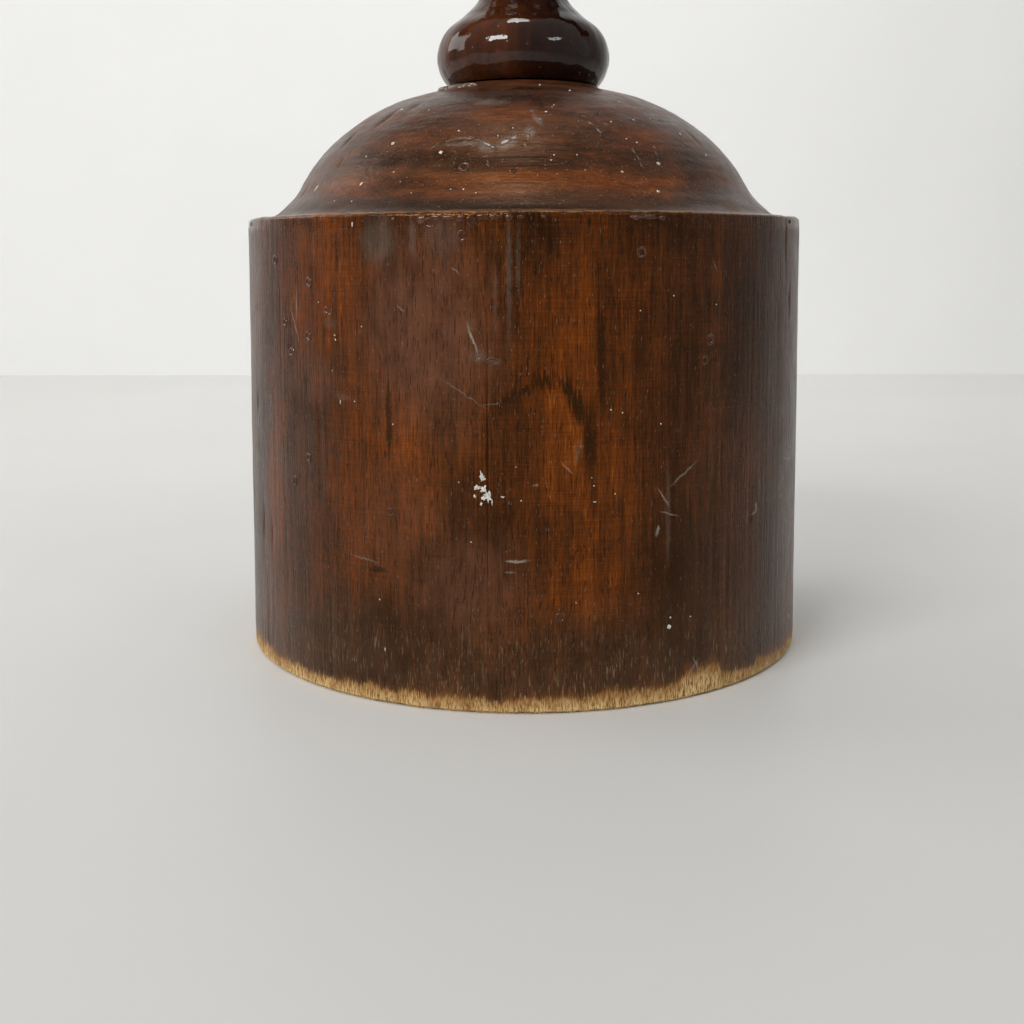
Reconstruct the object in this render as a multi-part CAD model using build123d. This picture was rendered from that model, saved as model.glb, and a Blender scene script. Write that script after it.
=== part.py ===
from build123d import *
import os
from math import asin, degrees, sqrt

# A turned wooden screw-press nutcracker, in millimetres. +Z is up, the origin is the centre of the
# drum's foot, the closed front of the drum faces -Y and its arched nut window faces +Y.

# ---- driving dimensions -------------------------------------------------------------------------
# Drum: planks glued face to face, then turned and bored.
DRUM_FOOT_RADIUS = 103.8
DRUM_TOP_RADIUS = 100.0
DRUM_HEIGHT = 154.5
DRUM_TOP_ROUND = 2.2
DRUM_FOOT_BEVEL = 0.9
PLANK_THICKNESS = 34.5
FIRST_SEAM_X = -80.0
SEAM_COUNT = 5

# Chamber: bored from below, open to the back through an arched window.
CHAMBER_RADIUS = 62.0
CHAMBER_FLOOR_Z = 26.0
CHAMBER_CEILING_Z = 126.0
WINDOW_HALF_WIDTH = 42.0
WINDOW_SPRING_Z = 66.0

# Base plate: let into the underside of the drum.
BASE_RECESS = 2.5
BASE_FLANGE_RADIUS = 75.0
BASE_FLANGE_TOP_Z = 14.0
BASE_SCREW_RING = 68.5
BASE_SCREW_COUNT = 6

# Anvil: an end-grain block with a dished iron plate on it.
ANVIL_BLOCK_RADIUS = 36.0
ANVIL_BLOCK_TOP_Z = 38.0
ANVIL_BEVEL = 2.0
ANVIL_PLATE_RADIUS = 27.0
ANVIL_TOP_Z = 44.0
DISH_RADIUS = 18.0
DISH_DEPTH = 2.6
ANVIL_SCREW_RING = 22.5
ANVIL_SCREW_COUNT = 3

# Dome: a face-grain disc with an elliptical crown and a hollow curve round its foot.
DOME_FOOT_RADIUS = 94.0
DOME_COVE_RADIUS = 85.0
DOME_COVE_Z = 159.6
CROWN_CENTRE_Z = 146.9
CROWN_RADIUS = 85.5
CROWN_HEIGHT = 57.2
CROWN_LOW_Z = 166.0
DOME_SEAT_Z = 201.0
DOWEL_RADIUS = 5.0
DOWEL_RING = 70.0
DOWEL_COUNT = 6
DOWEL_IN_DRUM = 14.5
DOWEL_IN_DOME = 13.5

# Wooden screw and the threaded block that it runs in.
THREAD_PITCH = 9.0
THREAD_CORE_RADIUS = 18.0
THREAD_CREST_RADIUS = 22.0
THREAD_ROOT_WIDTH = 7.2
THREAD_CREST_WIDTH = 1.6
THREAD_CLEARANCE = 0.4
THREAD_LOW_Z = 82.0
THREAD_HIGH_Z = 194.0
BLOCK_FLANGE_RADIUS = 46.0
BLOCK_FLANGE_THICKNESS = 10.0
BLOCK_BARREL_RADIUS = 32.0
BLOCK_TOP_Z = 172.0
BLOCK_SCREW_RING = 39.0
BLOCK_SCREW_COUNT = 4

# Pressing foot: hangs on the screw's tip and doesn't turn with it.
PRESS_PLATE_LOW_Z = 51.0
PRESS_PLATE_RADIUS = 25.0
PRESS_PLATE_HOLE = 8.5
FOOT_LOW_Z = 56.0
FOOT_TOP_Z = 72.0
FOOT_RADIUS = 28.0
FOOT_SHOULDER = 5.0
FOOT_WEB_TOP_Z = 62.0
FOOT_SCREW_RING = 21.5
FOOT_SCREW_COUNT = 4
PILOT_RADIUS = 9.0
PILOT_CLEARANCE = 0.08
FOOT_SCREW_LOW_Z = 51.6
WASHER_RADIUS = 7.7

# Handle: a turned stem with a seating bead, a cross bar through its ball and a button on top.
RUNNING_GAP = 0.3
STEM_LOW_Z = DOME_SEAT_Z + RUNNING_GAP
TENON_RADIUS = 9.0
TENON_TOP_Z = 236.0
BALL_Z = 272.0
BALL_RADIUS = 27.0
STEM_TOP_Z = 296.0
HANDLE_PIN_Z = 211.5
HANDLE_PIN_RADIUS = 3.0
BAR_RADIUS = 10.0
BAR_STRAIGHT = 30.0
BAR_END_RADIUS = 8.2
BAR_HALF_LENGTH = 79.0
BAR_TENON_RADIUS = 5.0
BAR_TENON_LENGTH = 14.0
BAR_PIN_RADIUS = 2.5
KNOB_RADIUS = 13.5
BUTTON_FOOT_RADIUS = 8.0
BUTTON_RADIUS = 10.5
BUTTON_HEIGHT = 19.0
BUTTON_TENON_RADIUS = 5.0
BUTTON_TENON_LENGTH = 12.0

# Screws: head radius, head height and shank radius, with a straight slot in the head.
BODY_SCREW = (4.2, 2.6, 2.0)
BLOCK_SCREW = (6.0, 3.4, 3.0)
PLATE_SCREW = (3.0, 1.8, 1.3)
FOOT_SCREW = (6.5, 3.2, 3.0)
SLOT_WIDTH = 0.9

# Tools that cut right through reach this far, and this much past a face.
FAR = 400.0
PAST = 1.0


# ---- helpers ------------------------------------------------------------------------------------
def rod(radius, low, high):
    """A cylinder on the Z axis from one height to another."""
    on_base = (Align.CENTER, Align.CENTER, Align.MIN)
    return Pos(0, 0, low) * Cylinder(radius, high - low, align=on_base)


def turned(*edges):
    """A solid turned about the Z axis from edges in (radius, height) that run from axis to axis."""
    outline = Curve() + [*edges, Line(edges[-1] @ 1, edges[0] @ 0)]
    return revolve(Plane.XZ * make_face(outline), Axis.Z)


def on_ring(shape, radius, count, first_angle=0.0):
    """Copies of a shape spaced evenly on a ring about the Z axis."""
    angles = [first_angle + 360 / count * i for i in range(count)]
    return [Rot(0, 0, angle) * Pos(radius, 0, 0) * shape for angle in angles]


def joined(shapes):
    """One shape that holds several separate solids."""
    return Compound(children=[solid for shape in shapes for solid in shape.solids()])


def without(shape, cutters):
    """A shape with each of the cutters taken away."""
    for cutter in cutters:
        shape -= cutter
    return shape


def along_x(shape, side=1):
    """A shape made on the Z axis, laid along +X, or along -X for side -1."""
    return Rot(0, 90 * side, 0) * shape


def countersunk_screw(size, head_low, tip, slotted=False):
    """A countersunk screw that points up."""
    head_radius, head_height, shank_radius = size
    screw = turned(
        Polyline(
            (0, head_low),
            (head_radius, head_low),
            (shank_radius, head_low + head_height),
            (shank_radius, tip - 2 * shank_radius),
            (0, tip),
        )
    )
    return screw - head_slot(size, head_low) if slotted else screw


def head_slot(size, head_low):
    """The straight slot in a screw's head."""
    head_radius, head_height, _ = size
    return Pos(0, 0, head_low) * Box(3 * head_radius, SLOT_WIDTH, 0.9 * head_height)


def thread(low, high, extra=0.0):
    """A right-hand V-shaped ridge wound round a core, thickened all over by extra."""
    core = THREAD_CORE_RADIUS + extra
    root = THREAD_ROOT_WIDTH / 2 + extra
    tip = THREAD_CREST_WIDTH / 2 + extra
    depth = THREAD_CREST_RADIUS - THREAD_CORE_RADIUS
    bury = 0.4
    path = Pos(0, 0, low) * Helix(THREAD_PITCH, high - low, core)
    corners = [(-bury, -root), (0, -root), (depth, -tip), (depth, tip), (0, root), (-bury, root)]
    section = Plane(origin=path @ 0, x_dir=(1, 0, 0), z_dir=path % 0)
    ridge = sweep(section * make_face(Polyline(*corners, close=True)), path=path, is_frenet=True)
    return rod(core, low - THREAD_PITCH, high + THREAD_PITCH) + ridge


# ---- drum ---------------------------------------------------------------------------------------
def drum_outside():
    """The solid drum as it leaves the lathe: a slight taper with its two edges eased."""
    drum = turned(
        Polyline(
            (0, 0),
            (DRUM_FOOT_RADIUS, 0),
            (DRUM_TOP_RADIUS, DRUM_HEIGHT),
            (0, DRUM_HEIGHT),
        )
    )
    drum = fillet(drum.edges().group_by(Axis.Z)[-1], DRUM_TOP_ROUND)
    return chamfer(drum.edges().group_by(Axis.Z)[0], DRUM_FOOT_BEVEL)


def window():
    """The arched opening in the back wall, down to the chamber's floor."""
    depth = FAR / 2
    height = WINDOW_SPRING_Z - CHAMBER_FLOOR_Z
    middle = Pos(0, depth / 2, CHAMBER_FLOOR_Z + height / 2)
    head = Pos(0, depth / 2, WINDOW_SPRING_Z) * Rot(90, 0, 0) * Cylinder(WINDOW_HALF_WIDTH, depth)
    return middle * Box(2 * WINDOW_HALF_WIDTH, depth, height) + head


def drum():
    """The turned and bored drum before it is parted into its planks."""
    bores = [
        rod(CHAMBER_RADIUS, -PAST, CHAMBER_CEILING_Z),
        rod(BASE_FLANGE_RADIUS, -PAST, BASE_FLANGE_TOP_Z),
        rod(BLOCK_BARREL_RADIUS, CHAMBER_CEILING_Z - PAST, DRUM_HEIGHT + PAST),
    ]
    return without(
        drum_outside(), [*bores, window(), *base_screws(), *block_screws(), *dome_dowels()]
    )


def drum_planks():
    """The planks of the drum, from left to right."""
    seams = [FIRST_SEAM_X + PLANK_THICKNESS * i for i in range(SEAM_COUNT)]
    sides = [-FAR / 2, *seams, FAR / 2]
    whole = drum()
    planks = []
    for left, right in zip(sides, sides[1:]):
        slab = Pos((left + right) / 2, 0, DRUM_HEIGHT / 2) * Box(right - left, FAR, FAR)
        planks.append(whole & slab)
    return planks


# ---- base and anvil -----------------------------------------------------------------------------
def base_screws(slotted=False):
    """Screws up through the base plate's flange into the drum's wall."""
    screw = countersunk_screw(BODY_SCREW, BASE_RECESS, CHAMBER_FLOOR_Z - 2, slotted)
    return on_ring(screw, BASE_SCREW_RING, BASE_SCREW_COUNT)


def anvil_block_screw(slotted=False):
    """The one long screw that holds the anvil's block from below."""
    return countersunk_screw(BLOCK_SCREW, BASE_RECESS, ANVIL_BLOCK_TOP_Z - 2, slotted)


def anvil_plate_screws(slotted=False):
    """Small screws, heads up, that hold the anvil's iron plate."""
    length = 15.0
    screw = Rot(180, 0, 0) * countersunk_screw(PLATE_SCREW, 0, length, slotted)
    return on_ring(Pos(0, 0, ANVIL_TOP_Z) * screw, ANVIL_SCREW_RING, ANVIL_SCREW_COUNT, 90)


def base_plate():
    """The stepped disc that closes the drum from below and carries the anvil."""
    plate = rod(BASE_FLANGE_RADIUS, BASE_RECESS, BASE_FLANGE_TOP_Z)
    plate += rod(CHAMBER_RADIUS, BASE_FLANGE_TOP_Z, CHAMBER_FLOOR_Z)
    return without(plate, [anvil_block_screw(), *base_screws()])


def anvil_block():
    """The end-grain block under the iron plate, bevelled round its top."""
    block = rod(ANVIL_BLOCK_RADIUS, CHAMBER_FLOOR_Z, ANVIL_BLOCK_TOP_Z)
    block = chamfer(block.edges().group_by(Axis.Z)[-1], ANVIL_BEVEL)
    return without(block, [anvil_block_screw(), *anvil_plate_screws()])


def dished_plate(radius, low, high):
    """A round iron plate with a shallow dish in its top face."""
    ball_radius = (DISH_RADIUS**2 + DISH_DEPTH**2) / (2 * DISH_DEPTH)
    return rod(radius, low, high) - Pos(0, 0, high + ball_radius - DISH_DEPTH) * Sphere(ball_radius)


def anvil_plate():
    plate = dished_plate(ANVIL_PLATE_RADIUS, ANVIL_BLOCK_TOP_Z, ANVIL_TOP_Z)
    return without(plate, anvil_plate_screws())


# ---- dome ---------------------------------------------------------------------------------------
def dome_dowels():
    """Blind dowels between the drum's top and the dome."""
    dowel = rod(DOWEL_RADIUS, DRUM_HEIGHT - DOWEL_IN_DRUM, DRUM_HEIGHT + DOWEL_IN_DOME)
    return on_ring(dowel, DOWEL_RING, DOWEL_COUNT)


def dome_cap():
    """The dome, bored for the screw and recessed below for the threaded block."""
    low_angle, high_angle = (
        degrees(asin((z - CROWN_CENTRE_Z) / CROWN_HEIGHT)) for z in (CROWN_LOW_Z, DOME_SEAT_Z)
    )
    crown = EllipticalCenterArc(
        (0, CROWN_CENTRE_Z),
        CROWN_RADIUS,
        CROWN_HEIGHT,
        start_angle=low_angle,
        arc_size=high_angle - low_angle,
    )
    cove = Spline(
        (DOME_FOOT_RADIUS, DRUM_HEIGHT),
        (DOME_COVE_RADIUS, DOME_COVE_Z),
        crown @ 0,
        tangents=[(-1, 0.16), crown % 0],
    )
    dome = turned(
        Line((0, DRUM_HEIGHT), (DOME_FOOT_RADIUS, DRUM_HEIGHT)),
        cove,
        crown,
        Line(crown @ 1, (0, DOME_SEAT_Z)),
    )
    screw_hole = rod(THREAD_CREST_RADIUS + 2 * RUNNING_GAP, DRUM_HEIGHT - PAST, DOME_SEAT_Z + PAST)
    block_recess = rod(BLOCK_BARREL_RADIUS, DRUM_HEIGHT - PAST, BLOCK_TOP_Z)
    return without(dome, [screw_hole, block_recess, *dome_dowels()])


# ---- threaded block -----------------------------------------------------------------------------
def block_screws(slotted=False):
    """Screws up through the threaded block's flange into the chamber's ceiling."""
    head_low = CHAMBER_CEILING_Z - BLOCK_FLANGE_THICKNESS
    screw = countersunk_screw(BODY_SCREW, head_low, DRUM_HEIGHT - 5, slotted)
    return on_ring(screw, BLOCK_SCREW_RING, BLOCK_SCREW_COUNT, 45)


def thread_block():
    """The flanged hardwood block with the inside thread, in step with the spindle's."""
    block = rod(BLOCK_FLANGE_RADIUS, CHAMBER_CEILING_Z - BLOCK_FLANGE_THICKNESS, CHAMBER_CEILING_Z)
    block += rod(BLOCK_BARREL_RADIUS, CHAMBER_CEILING_Z, BLOCK_TOP_Z)
    tap_low = THREAD_LOW_Z + 2 * THREAD_PITCH
    tap = thread(tap_low, tap_low + 9 * THREAD_PITCH, THREAD_CLEARANCE)
    return without(block, [tap, *block_screws()])


# ---- screw and pressing foot --------------------------------------------------------------------
def foot_screw(slotted=False):
    """The round-headed screw that holds the foot on the spindle and turns with it."""
    head_radius, head_height, shank_radius = FOOT_SCREW
    tip = FOOT_TOP_Z + 12
    screw = rod(head_radius, FOOT_SCREW_LOW_Z, FOOT_SCREW_LOW_Z + head_height)
    screw = fillet(screw.edges().group_by(Axis.Z)[0], 0.3 * head_height)
    screw += rod(shank_radius, FOOT_SCREW_LOW_Z + head_height, tip)
    screw = chamfer(screw.edges().group_by(Axis.Z)[-1], 0.6 * shank_radius)
    return screw - head_slot(FOOT_SCREW, FOOT_SCREW_LOW_Z) if slotted else screw


def foot_washer():
    _, head_height, shank_radius = FOOT_SCREW
    low, high = FOOT_SCREW_LOW_Z + head_height, FOOT_LOW_Z - RUNNING_GAP / 2
    return rod(WASHER_RADIUS, low, high) - rod(shank_radius, low - PAST, high + PAST)


def press_plate_screws(slotted=False):
    """Small screws, heads down, that hold the foot's iron ring."""
    screw = countersunk_screw(PLATE_SCREW, PRESS_PLATE_LOW_Z, FOOT_LOW_Z + 8, slotted)
    return on_ring(screw, FOOT_SCREW_RING, FOOT_SCREW_COUNT, 45)


def press_plate():
    """The foot's iron ring, hollowed towards the nut, with room for the screw's head and washer."""
    plate = dished_plate(PRESS_PLATE_RADIUS, 0, FOOT_LOW_Z - PRESS_PLATE_LOW_Z)
    plate = Pos(0, 0, FOOT_LOW_Z) * Rot(180, 0, 0) * plate
    hole = rod(PRESS_PLATE_HOLE, PRESS_PLATE_LOW_Z - PAST, FOOT_LOW_Z + PAST)
    return without(plate, [hole, *press_plate_screws()])


def press_foot():
    """The hardwood foot: a thick disc with round shoulders, bored for the pilot and the screw."""
    _, _, shank_radius = FOOT_SCREW
    foot = rod(FOOT_RADIUS, FOOT_LOW_Z, FOOT_TOP_Z)
    foot = fillet(foot.edges().group_by(Axis.Z)[-1], FOOT_SHOULDER)
    pilot_bore = rod(PILOT_RADIUS + PILOT_CLEARANCE, FOOT_WEB_TOP_Z, FOOT_TOP_Z + PAST)
    screw_bore = rod(shank_radius + RUNNING_GAP, FOOT_LOW_Z - PAST, FOOT_WEB_TOP_Z + PAST)
    return without(foot, [pilot_bore, screw_bore, *press_plate_screws()])


def spindle():
    """The threaded spindle, with a pilot below for the foot and a tenon above for the handle."""
    shoulder_z = FOOT_TOP_Z + RUNNING_GAP
    screw = thread(THREAD_LOW_Z, THREAD_HIGH_Z) + rod(THREAD_CORE_RADIUS, shoulder_z, STEM_LOW_Z)
    screw &= rod(THREAD_CREST_RADIUS + PAST, shoulder_z, STEM_LOW_Z)
    screw += rod(PILOT_RADIUS, FOOT_WEB_TOP_Z + RUNNING_GAP, shoulder_z)
    screw += rod(TENON_RADIUS, STEM_LOW_Z, TENON_TOP_Z)
    return without(screw, [foot_screw(), handle_pin_hole()])


# ---- handle -------------------------------------------------------------------------------------
def stem_outside():
    """The turned outside of the handle: seating bead, neck, collar and ball."""
    bead_low, bead_side, bead_top = (27.0, STEM_LOW_Z), (31.05, 211.5), (27.6, 220.3)
    neck_low, neck_high = (16.4, 231.3), (15.4, 238.0)
    collar_low, collar_high = (20.5, 247.6), (20.0, 252.4)
    ball_side, ball_top = (BALL_RADIUS, BALL_Z), (10.0, STEM_TOP_Z)
    up = (0, 1)
    return turned(
        Line((0, STEM_LOW_Z), bead_low),
        ThreePointArc(bead_low, bead_side, bead_top),
        Spline(bead_top, (21.9, 225.2), neck_low, neck_high, tangents=[(-0.55, 1), up]),
        Spline(neck_high, (17.0, 243.6), collar_low, tangents=[up, (1, 0.5)]),
        ThreePointArc(collar_low, (21.9, 250.2), collar_high),
        Spline(collar_high, (25.3, 261.0), ball_side, tangents=[(0.8, 1), up]),
        Spline(ball_side, (22.4, 287.0), ball_top, tangents=[up, (-1, 0.12)]),
        Line(ball_top, (0, STEM_TOP_Z)),
    )


def handle_pin_hole():
    return Pos(0, 0, HANDLE_PIN_Z) * along_x(Cylinder(HANDLE_PIN_RADIUS, FAR))


def bar_pin_hole():
    return Pos(0, 0, BALL_Z) * Rot(90, 0, 0) * Cylinder(BAR_PIN_RADIUS, FAR)


def handle_pin():
    """The dowel through the bead and the spindle's tenon, cut flush with the bead."""
    return handle_pin_hole() & stem_outside()


def bar_pin():
    """The dowel through the ball and the cross bar, cut flush with the ball."""
    return bar_pin_hole() & stem_outside()


def button_tenon():
    return rod(BUTTON_TENON_RADIUS, STEM_TOP_Z - BUTTON_TENON_LENGTH, STEM_TOP_Z)


def handle_stem():
    socket = rod(TENON_RADIUS, STEM_LOW_Z - PAST, TENON_TOP_Z)
    bar_hole = Pos(0, 0, BALL_Z) * along_x(Cylinder(BAR_RADIUS, FAR))
    cutters = [socket, bar_hole, button_tenon(), handle_pin_hole(), bar_pin_hole()]
    return without(stem_outside(), cutters)


def cross_bar():
    """The bar: straight through the ball, tapered outside it, with a tenon at each end."""
    tip = BAR_HALF_LENGTH + BAR_TENON_LENGTH
    half = turned(
        Polyline(
            (0, 0),
            (BAR_RADIUS, 0),
            (BAR_RADIUS, BAR_STRAIGHT),
            (BAR_END_RADIUS, BAR_HALF_LENGTH),
            (BAR_TENON_RADIUS, BAR_HALF_LENGTH),
            (BAR_TENON_RADIUS, tip),
            (0, tip),
        )
    )
    return Pos(0, 0, BALL_Z) * (along_x(half) + along_x(half, -1)) - bar_pin_hole()


def bar_knob(side):
    """A turned ball with a flat towards the bar: side is -1 on the left and 1 on the right."""
    flat = sqrt(KNOB_RADIUS**2 - (BAR_END_RADIUS + 0.6) ** 2)
    ball = Sphere(KNOB_RADIUS) & rod(2 * KNOB_RADIUS, -flat, 2 * KNOB_RADIUS)
    ball -= rod(BAR_TENON_RADIUS, -2 * KNOB_RADIUS, BAR_TENON_LENGTH - flat)
    return Pos(side * (BAR_HALF_LENGTH + flat), 0, BALL_Z) * along_x(ball, side)


def top_button():
    """The turned button that plugs the top of the handle."""
    rim = (BUTTON_FOOT_RADIUS, STEM_TOP_Z + 1.6)
    waist = (0.7 * BUTTON_FOOT_RADIUS, STEM_TOP_Z + 4.6)
    side = (BUTTON_RADIUS, STEM_TOP_Z + 0.58 * BUTTON_HEIGHT)
    shoulder = (0.62 * BUTTON_RADIUS, STEM_TOP_Z + 0.925 * BUTTON_HEIGHT)
    crown = (0, STEM_TOP_Z + BUTTON_HEIGHT)
    button = turned(
        Polyline((0, STEM_TOP_Z), (BUTTON_FOOT_RADIUS, STEM_TOP_Z), rim),
        Spline(rim, waist, side, tangents=[(-0.8, 0.6), (0.25, 1)]),
        Spline(side, shoulder, crown, tangents=[(0.25, 1), (-1, 0)]),
    )
    return button + button_tenon()


# ---- the assembly -------------------------------------------------------------------------------
nodes = {f"drum_plank_{i}": plank for i, plank in enumerate(drum_planks(), 1)}
nodes |= {
    "base_plate": base_plate(),
    "base_plate_screws": joined(base_screws(slotted=True)),
    "anvil_block": anvil_block(),
    "anvil_block_screw": anvil_block_screw(slotted=True),
    "anvil_plate": anvil_plate(),
    "anvil_plate_screws": joined(anvil_plate_screws(slotted=True)),
    "dome_cap": dome_cap(),
    "dome_dowels": joined(dome_dowels()),
    "thread_block": thread_block(),
    "thread_block_screws": joined(block_screws(slotted=True)),
    "press_foot": press_foot(),
    "press_plate": press_plate(),
    "press_plate_screws": joined(press_plate_screws(slotted=True)),
    "spindle": spindle(),
    "foot_screw": foot_screw(slotted=True),
    "foot_washer": foot_washer(),
    "handle_stem": handle_stem(),
    "handle_pin": handle_pin(),
    "cross_bar": cross_bar(),
    "bar_pin": bar_pin(),
    "bar_knob_left": bar_knob(-1),
    "bar_knob_right": bar_knob(1),
    "top_button": top_button(),
}

os.makedirs("parts", exist_ok=True)
for name, shape in nodes.items():
    export_step(shape, f"parts/{name}.step")
    print(name, round(shape.volume), "mm3", len(shape.solids()), "solids")
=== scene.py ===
"""The looks of a turned wooden screw-press nutcracker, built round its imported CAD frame."""

import math

import bmesh
import bpy
import numpy as np
from mathutils import Matrix, Vector


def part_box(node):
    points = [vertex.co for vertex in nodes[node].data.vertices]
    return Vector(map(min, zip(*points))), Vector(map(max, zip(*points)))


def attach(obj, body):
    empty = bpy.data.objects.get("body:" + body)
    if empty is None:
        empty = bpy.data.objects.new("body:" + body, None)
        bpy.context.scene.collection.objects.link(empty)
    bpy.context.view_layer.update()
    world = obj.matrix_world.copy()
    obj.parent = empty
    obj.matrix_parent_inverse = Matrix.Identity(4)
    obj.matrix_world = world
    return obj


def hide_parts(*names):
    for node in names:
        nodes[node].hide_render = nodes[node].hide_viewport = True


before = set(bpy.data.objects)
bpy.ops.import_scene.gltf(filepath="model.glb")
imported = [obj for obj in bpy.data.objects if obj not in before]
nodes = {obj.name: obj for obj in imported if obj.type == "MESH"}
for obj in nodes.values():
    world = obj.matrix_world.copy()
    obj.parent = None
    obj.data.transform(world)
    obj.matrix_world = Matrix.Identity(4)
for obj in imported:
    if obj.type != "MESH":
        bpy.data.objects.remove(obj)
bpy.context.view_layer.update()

MM = 0.001
PLANKS = [f"drum_plank_{i}" for i in range(1, 7)]

# ---- places and sizes in millimetres, from the frame where it has them ---------------------------
plank_boxes = [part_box(name) for name in PLANKS]
SEAMS = [box[1].x / MM for box in plank_boxes[:-1]]
DRUM_HEIGHT = plank_boxes[3][1].z / MM
FOOT_RADIUS = -plank_boxes[3][0].y / MM
TOP_RADIUS = FOOT_RADIUS - 3.8
TOP_ROUND = 1.3
RECESS_RADIUS, RECESS_Z = (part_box("base_plate")[1].x / MM, 14.0)
CHAMBER_RADIUS = 62.0
CEILING_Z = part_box("thread_block_screws")[0].z / MM + 10.0
# Where along X the one opened glue line is, and the heights between which it gapes.
OPEN_SEAM, OPEN_LOW, OPEN_HIGH = -11, 54, 120
WINDOW_HALF_WIDTH = 42.0
WINDOW_SILL_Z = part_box("anvil_block")[0].z / MM
WINDOW_SPRING_Z = WINDOW_SILL_Z + 40.0
BARREL_RADIUS, BARREL_TOP_Z = 32.0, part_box("thread_block")[1].z / MM

DOME_FOOT_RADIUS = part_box("dome_cap")[1].x / MM
DOME_SEAT_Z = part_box("dome_cap")[1].z / MM
DOME_HOLE_RADIUS = 22.6
CROWN_CENTRE_Z, CROWN_RADIUS, CROWN_HEIGHT, CROWN_LOW_Z = 146.9, 85.5, 57.2, 166.0
# Length of one degree along the skin of the drum.
MM_PER_DEGREE = 1.78

STEM_LOW_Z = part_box("handle_stem")[0].z / MM
STEM_TOP_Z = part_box("handle_stem")[1].z / MM
BAR_RADIUS = 10.0


# ---- smooth random fields for the meshes --------------------------------------------------------
def field(seed, u, v):
    """Smooth noise from -1 to 1 at points whose features are about one unit apart."""
    grid = np.random.default_rng(seed).uniform(-1, 1, (64, 64))
    iu, iv = np.floor(u).astype(int), np.floor(v).astype(int)
    fu, fv = u - iu, v - iv
    fu, fv = fu * fu * (3 - 2 * fu), fv * fv * (3 - 2 * fv)

    def corner(du, dv):
        return grid[(iu + du) % 64, (iv + dv) % 64]

    low = corner(0, 0) * (1 - fu) + corner(1, 0) * fu
    high = corner(0, 1) * (1 - fu) + corner(1, 1) * fu
    return low * (1 - fv) + high * fv


def ring_field(seed, angle, v, rounds=1):
    """Smooth noise that closes round the turn, with 64 features in it for each round of the grid."""
    return field(seed, (angle / (2 * math.pi) % 1.0) * 64 * rounds, v)


def bump_at(angle, z, place, size):
    """1 at a place on the skin, given as degrees from the front and height, falling to 0."""
    at, height = place
    across, up = size
    degrees = np.degrees((angle - math.radians(at) + math.pi) % (2 * math.pi) - math.pi)
    return np.exp(-((degrees * MM_PER_DEGREE / across) ** 2) - ((z - height) / up) ** 2)


# ---- mesh helpers -------------------------------------------------------------------------------
def straight(a, b, step):
    count = max(1, round(math.dist(a, b) / step))
    return np.linspace(a, b, count + 1)


def elliptical(centre, radii, start, end, step):
    count = max(2, round(abs(math.radians(end - start)) * max(radii) / step))
    t = np.radians(np.linspace(start, end, count + 1))
    return np.column_stack((centre[0] + radii[0] * np.cos(t), centre[1] + radii[1] * np.sin(t)))


def smooth_curve(points, start, end, step):
    """A curve through points with the given end directions, as cubic pieces."""
    points = np.array(points, float)
    chords = np.linalg.norm(np.diff(points, axis=0), axis=1)
    tangents = np.zeros_like(points)
    tangents[0] = np.array(start) / np.linalg.norm(start)
    tangents[-1] = np.array(end) / np.linalg.norm(end)
    for i in range(1, len(points) - 1):
        across = points[i + 1] - points[i - 1]
        tangents[i] = across / np.linalg.norm(across)
    run = [points[:1]]
    for i, chord in enumerate(chords):
        t = np.linspace(0, 1, max(2, round(chord / step)) + 1)[1:, None]
        run.append(
            (2 * t**3 - 3 * t**2 + 1) * points[i]
            + (t**3 - 2 * t**2 + t) * chord * tangents[i]
            + (3 * t**2 - 2 * t**3) * points[i + 1]
            + (t**3 - t**2) * chord * tangents[i + 1]
        )
    return np.vstack(run)


def outline(*runs):
    """One profile of (radius, height) from runs that follow each other, doubled points dropped."""
    points = np.vstack(runs)
    keep = np.r_[True, np.linalg.norm(np.diff(points, axis=0), axis=1) > 1e-6]
    return points[keep]


def new_object(name, vertices, faces):
    mesh = bpy.data.meshes.new(name)
    mesh.from_pydata(vertices.tolist(), [], faces)
    mesh.update()
    piece = bpy.data.objects.new(name, mesh)
    bpy.context.scene.collection.objects.link(piece)
    return piece


def finish_shading(piece, angle=32):
    mesh = piece.data
    mesh.polygons.foreach_set("use_smooth", [True] * len(mesh.polygons))
    mesh.set_sharp_from_angle(angle=math.radians(angle))


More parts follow.
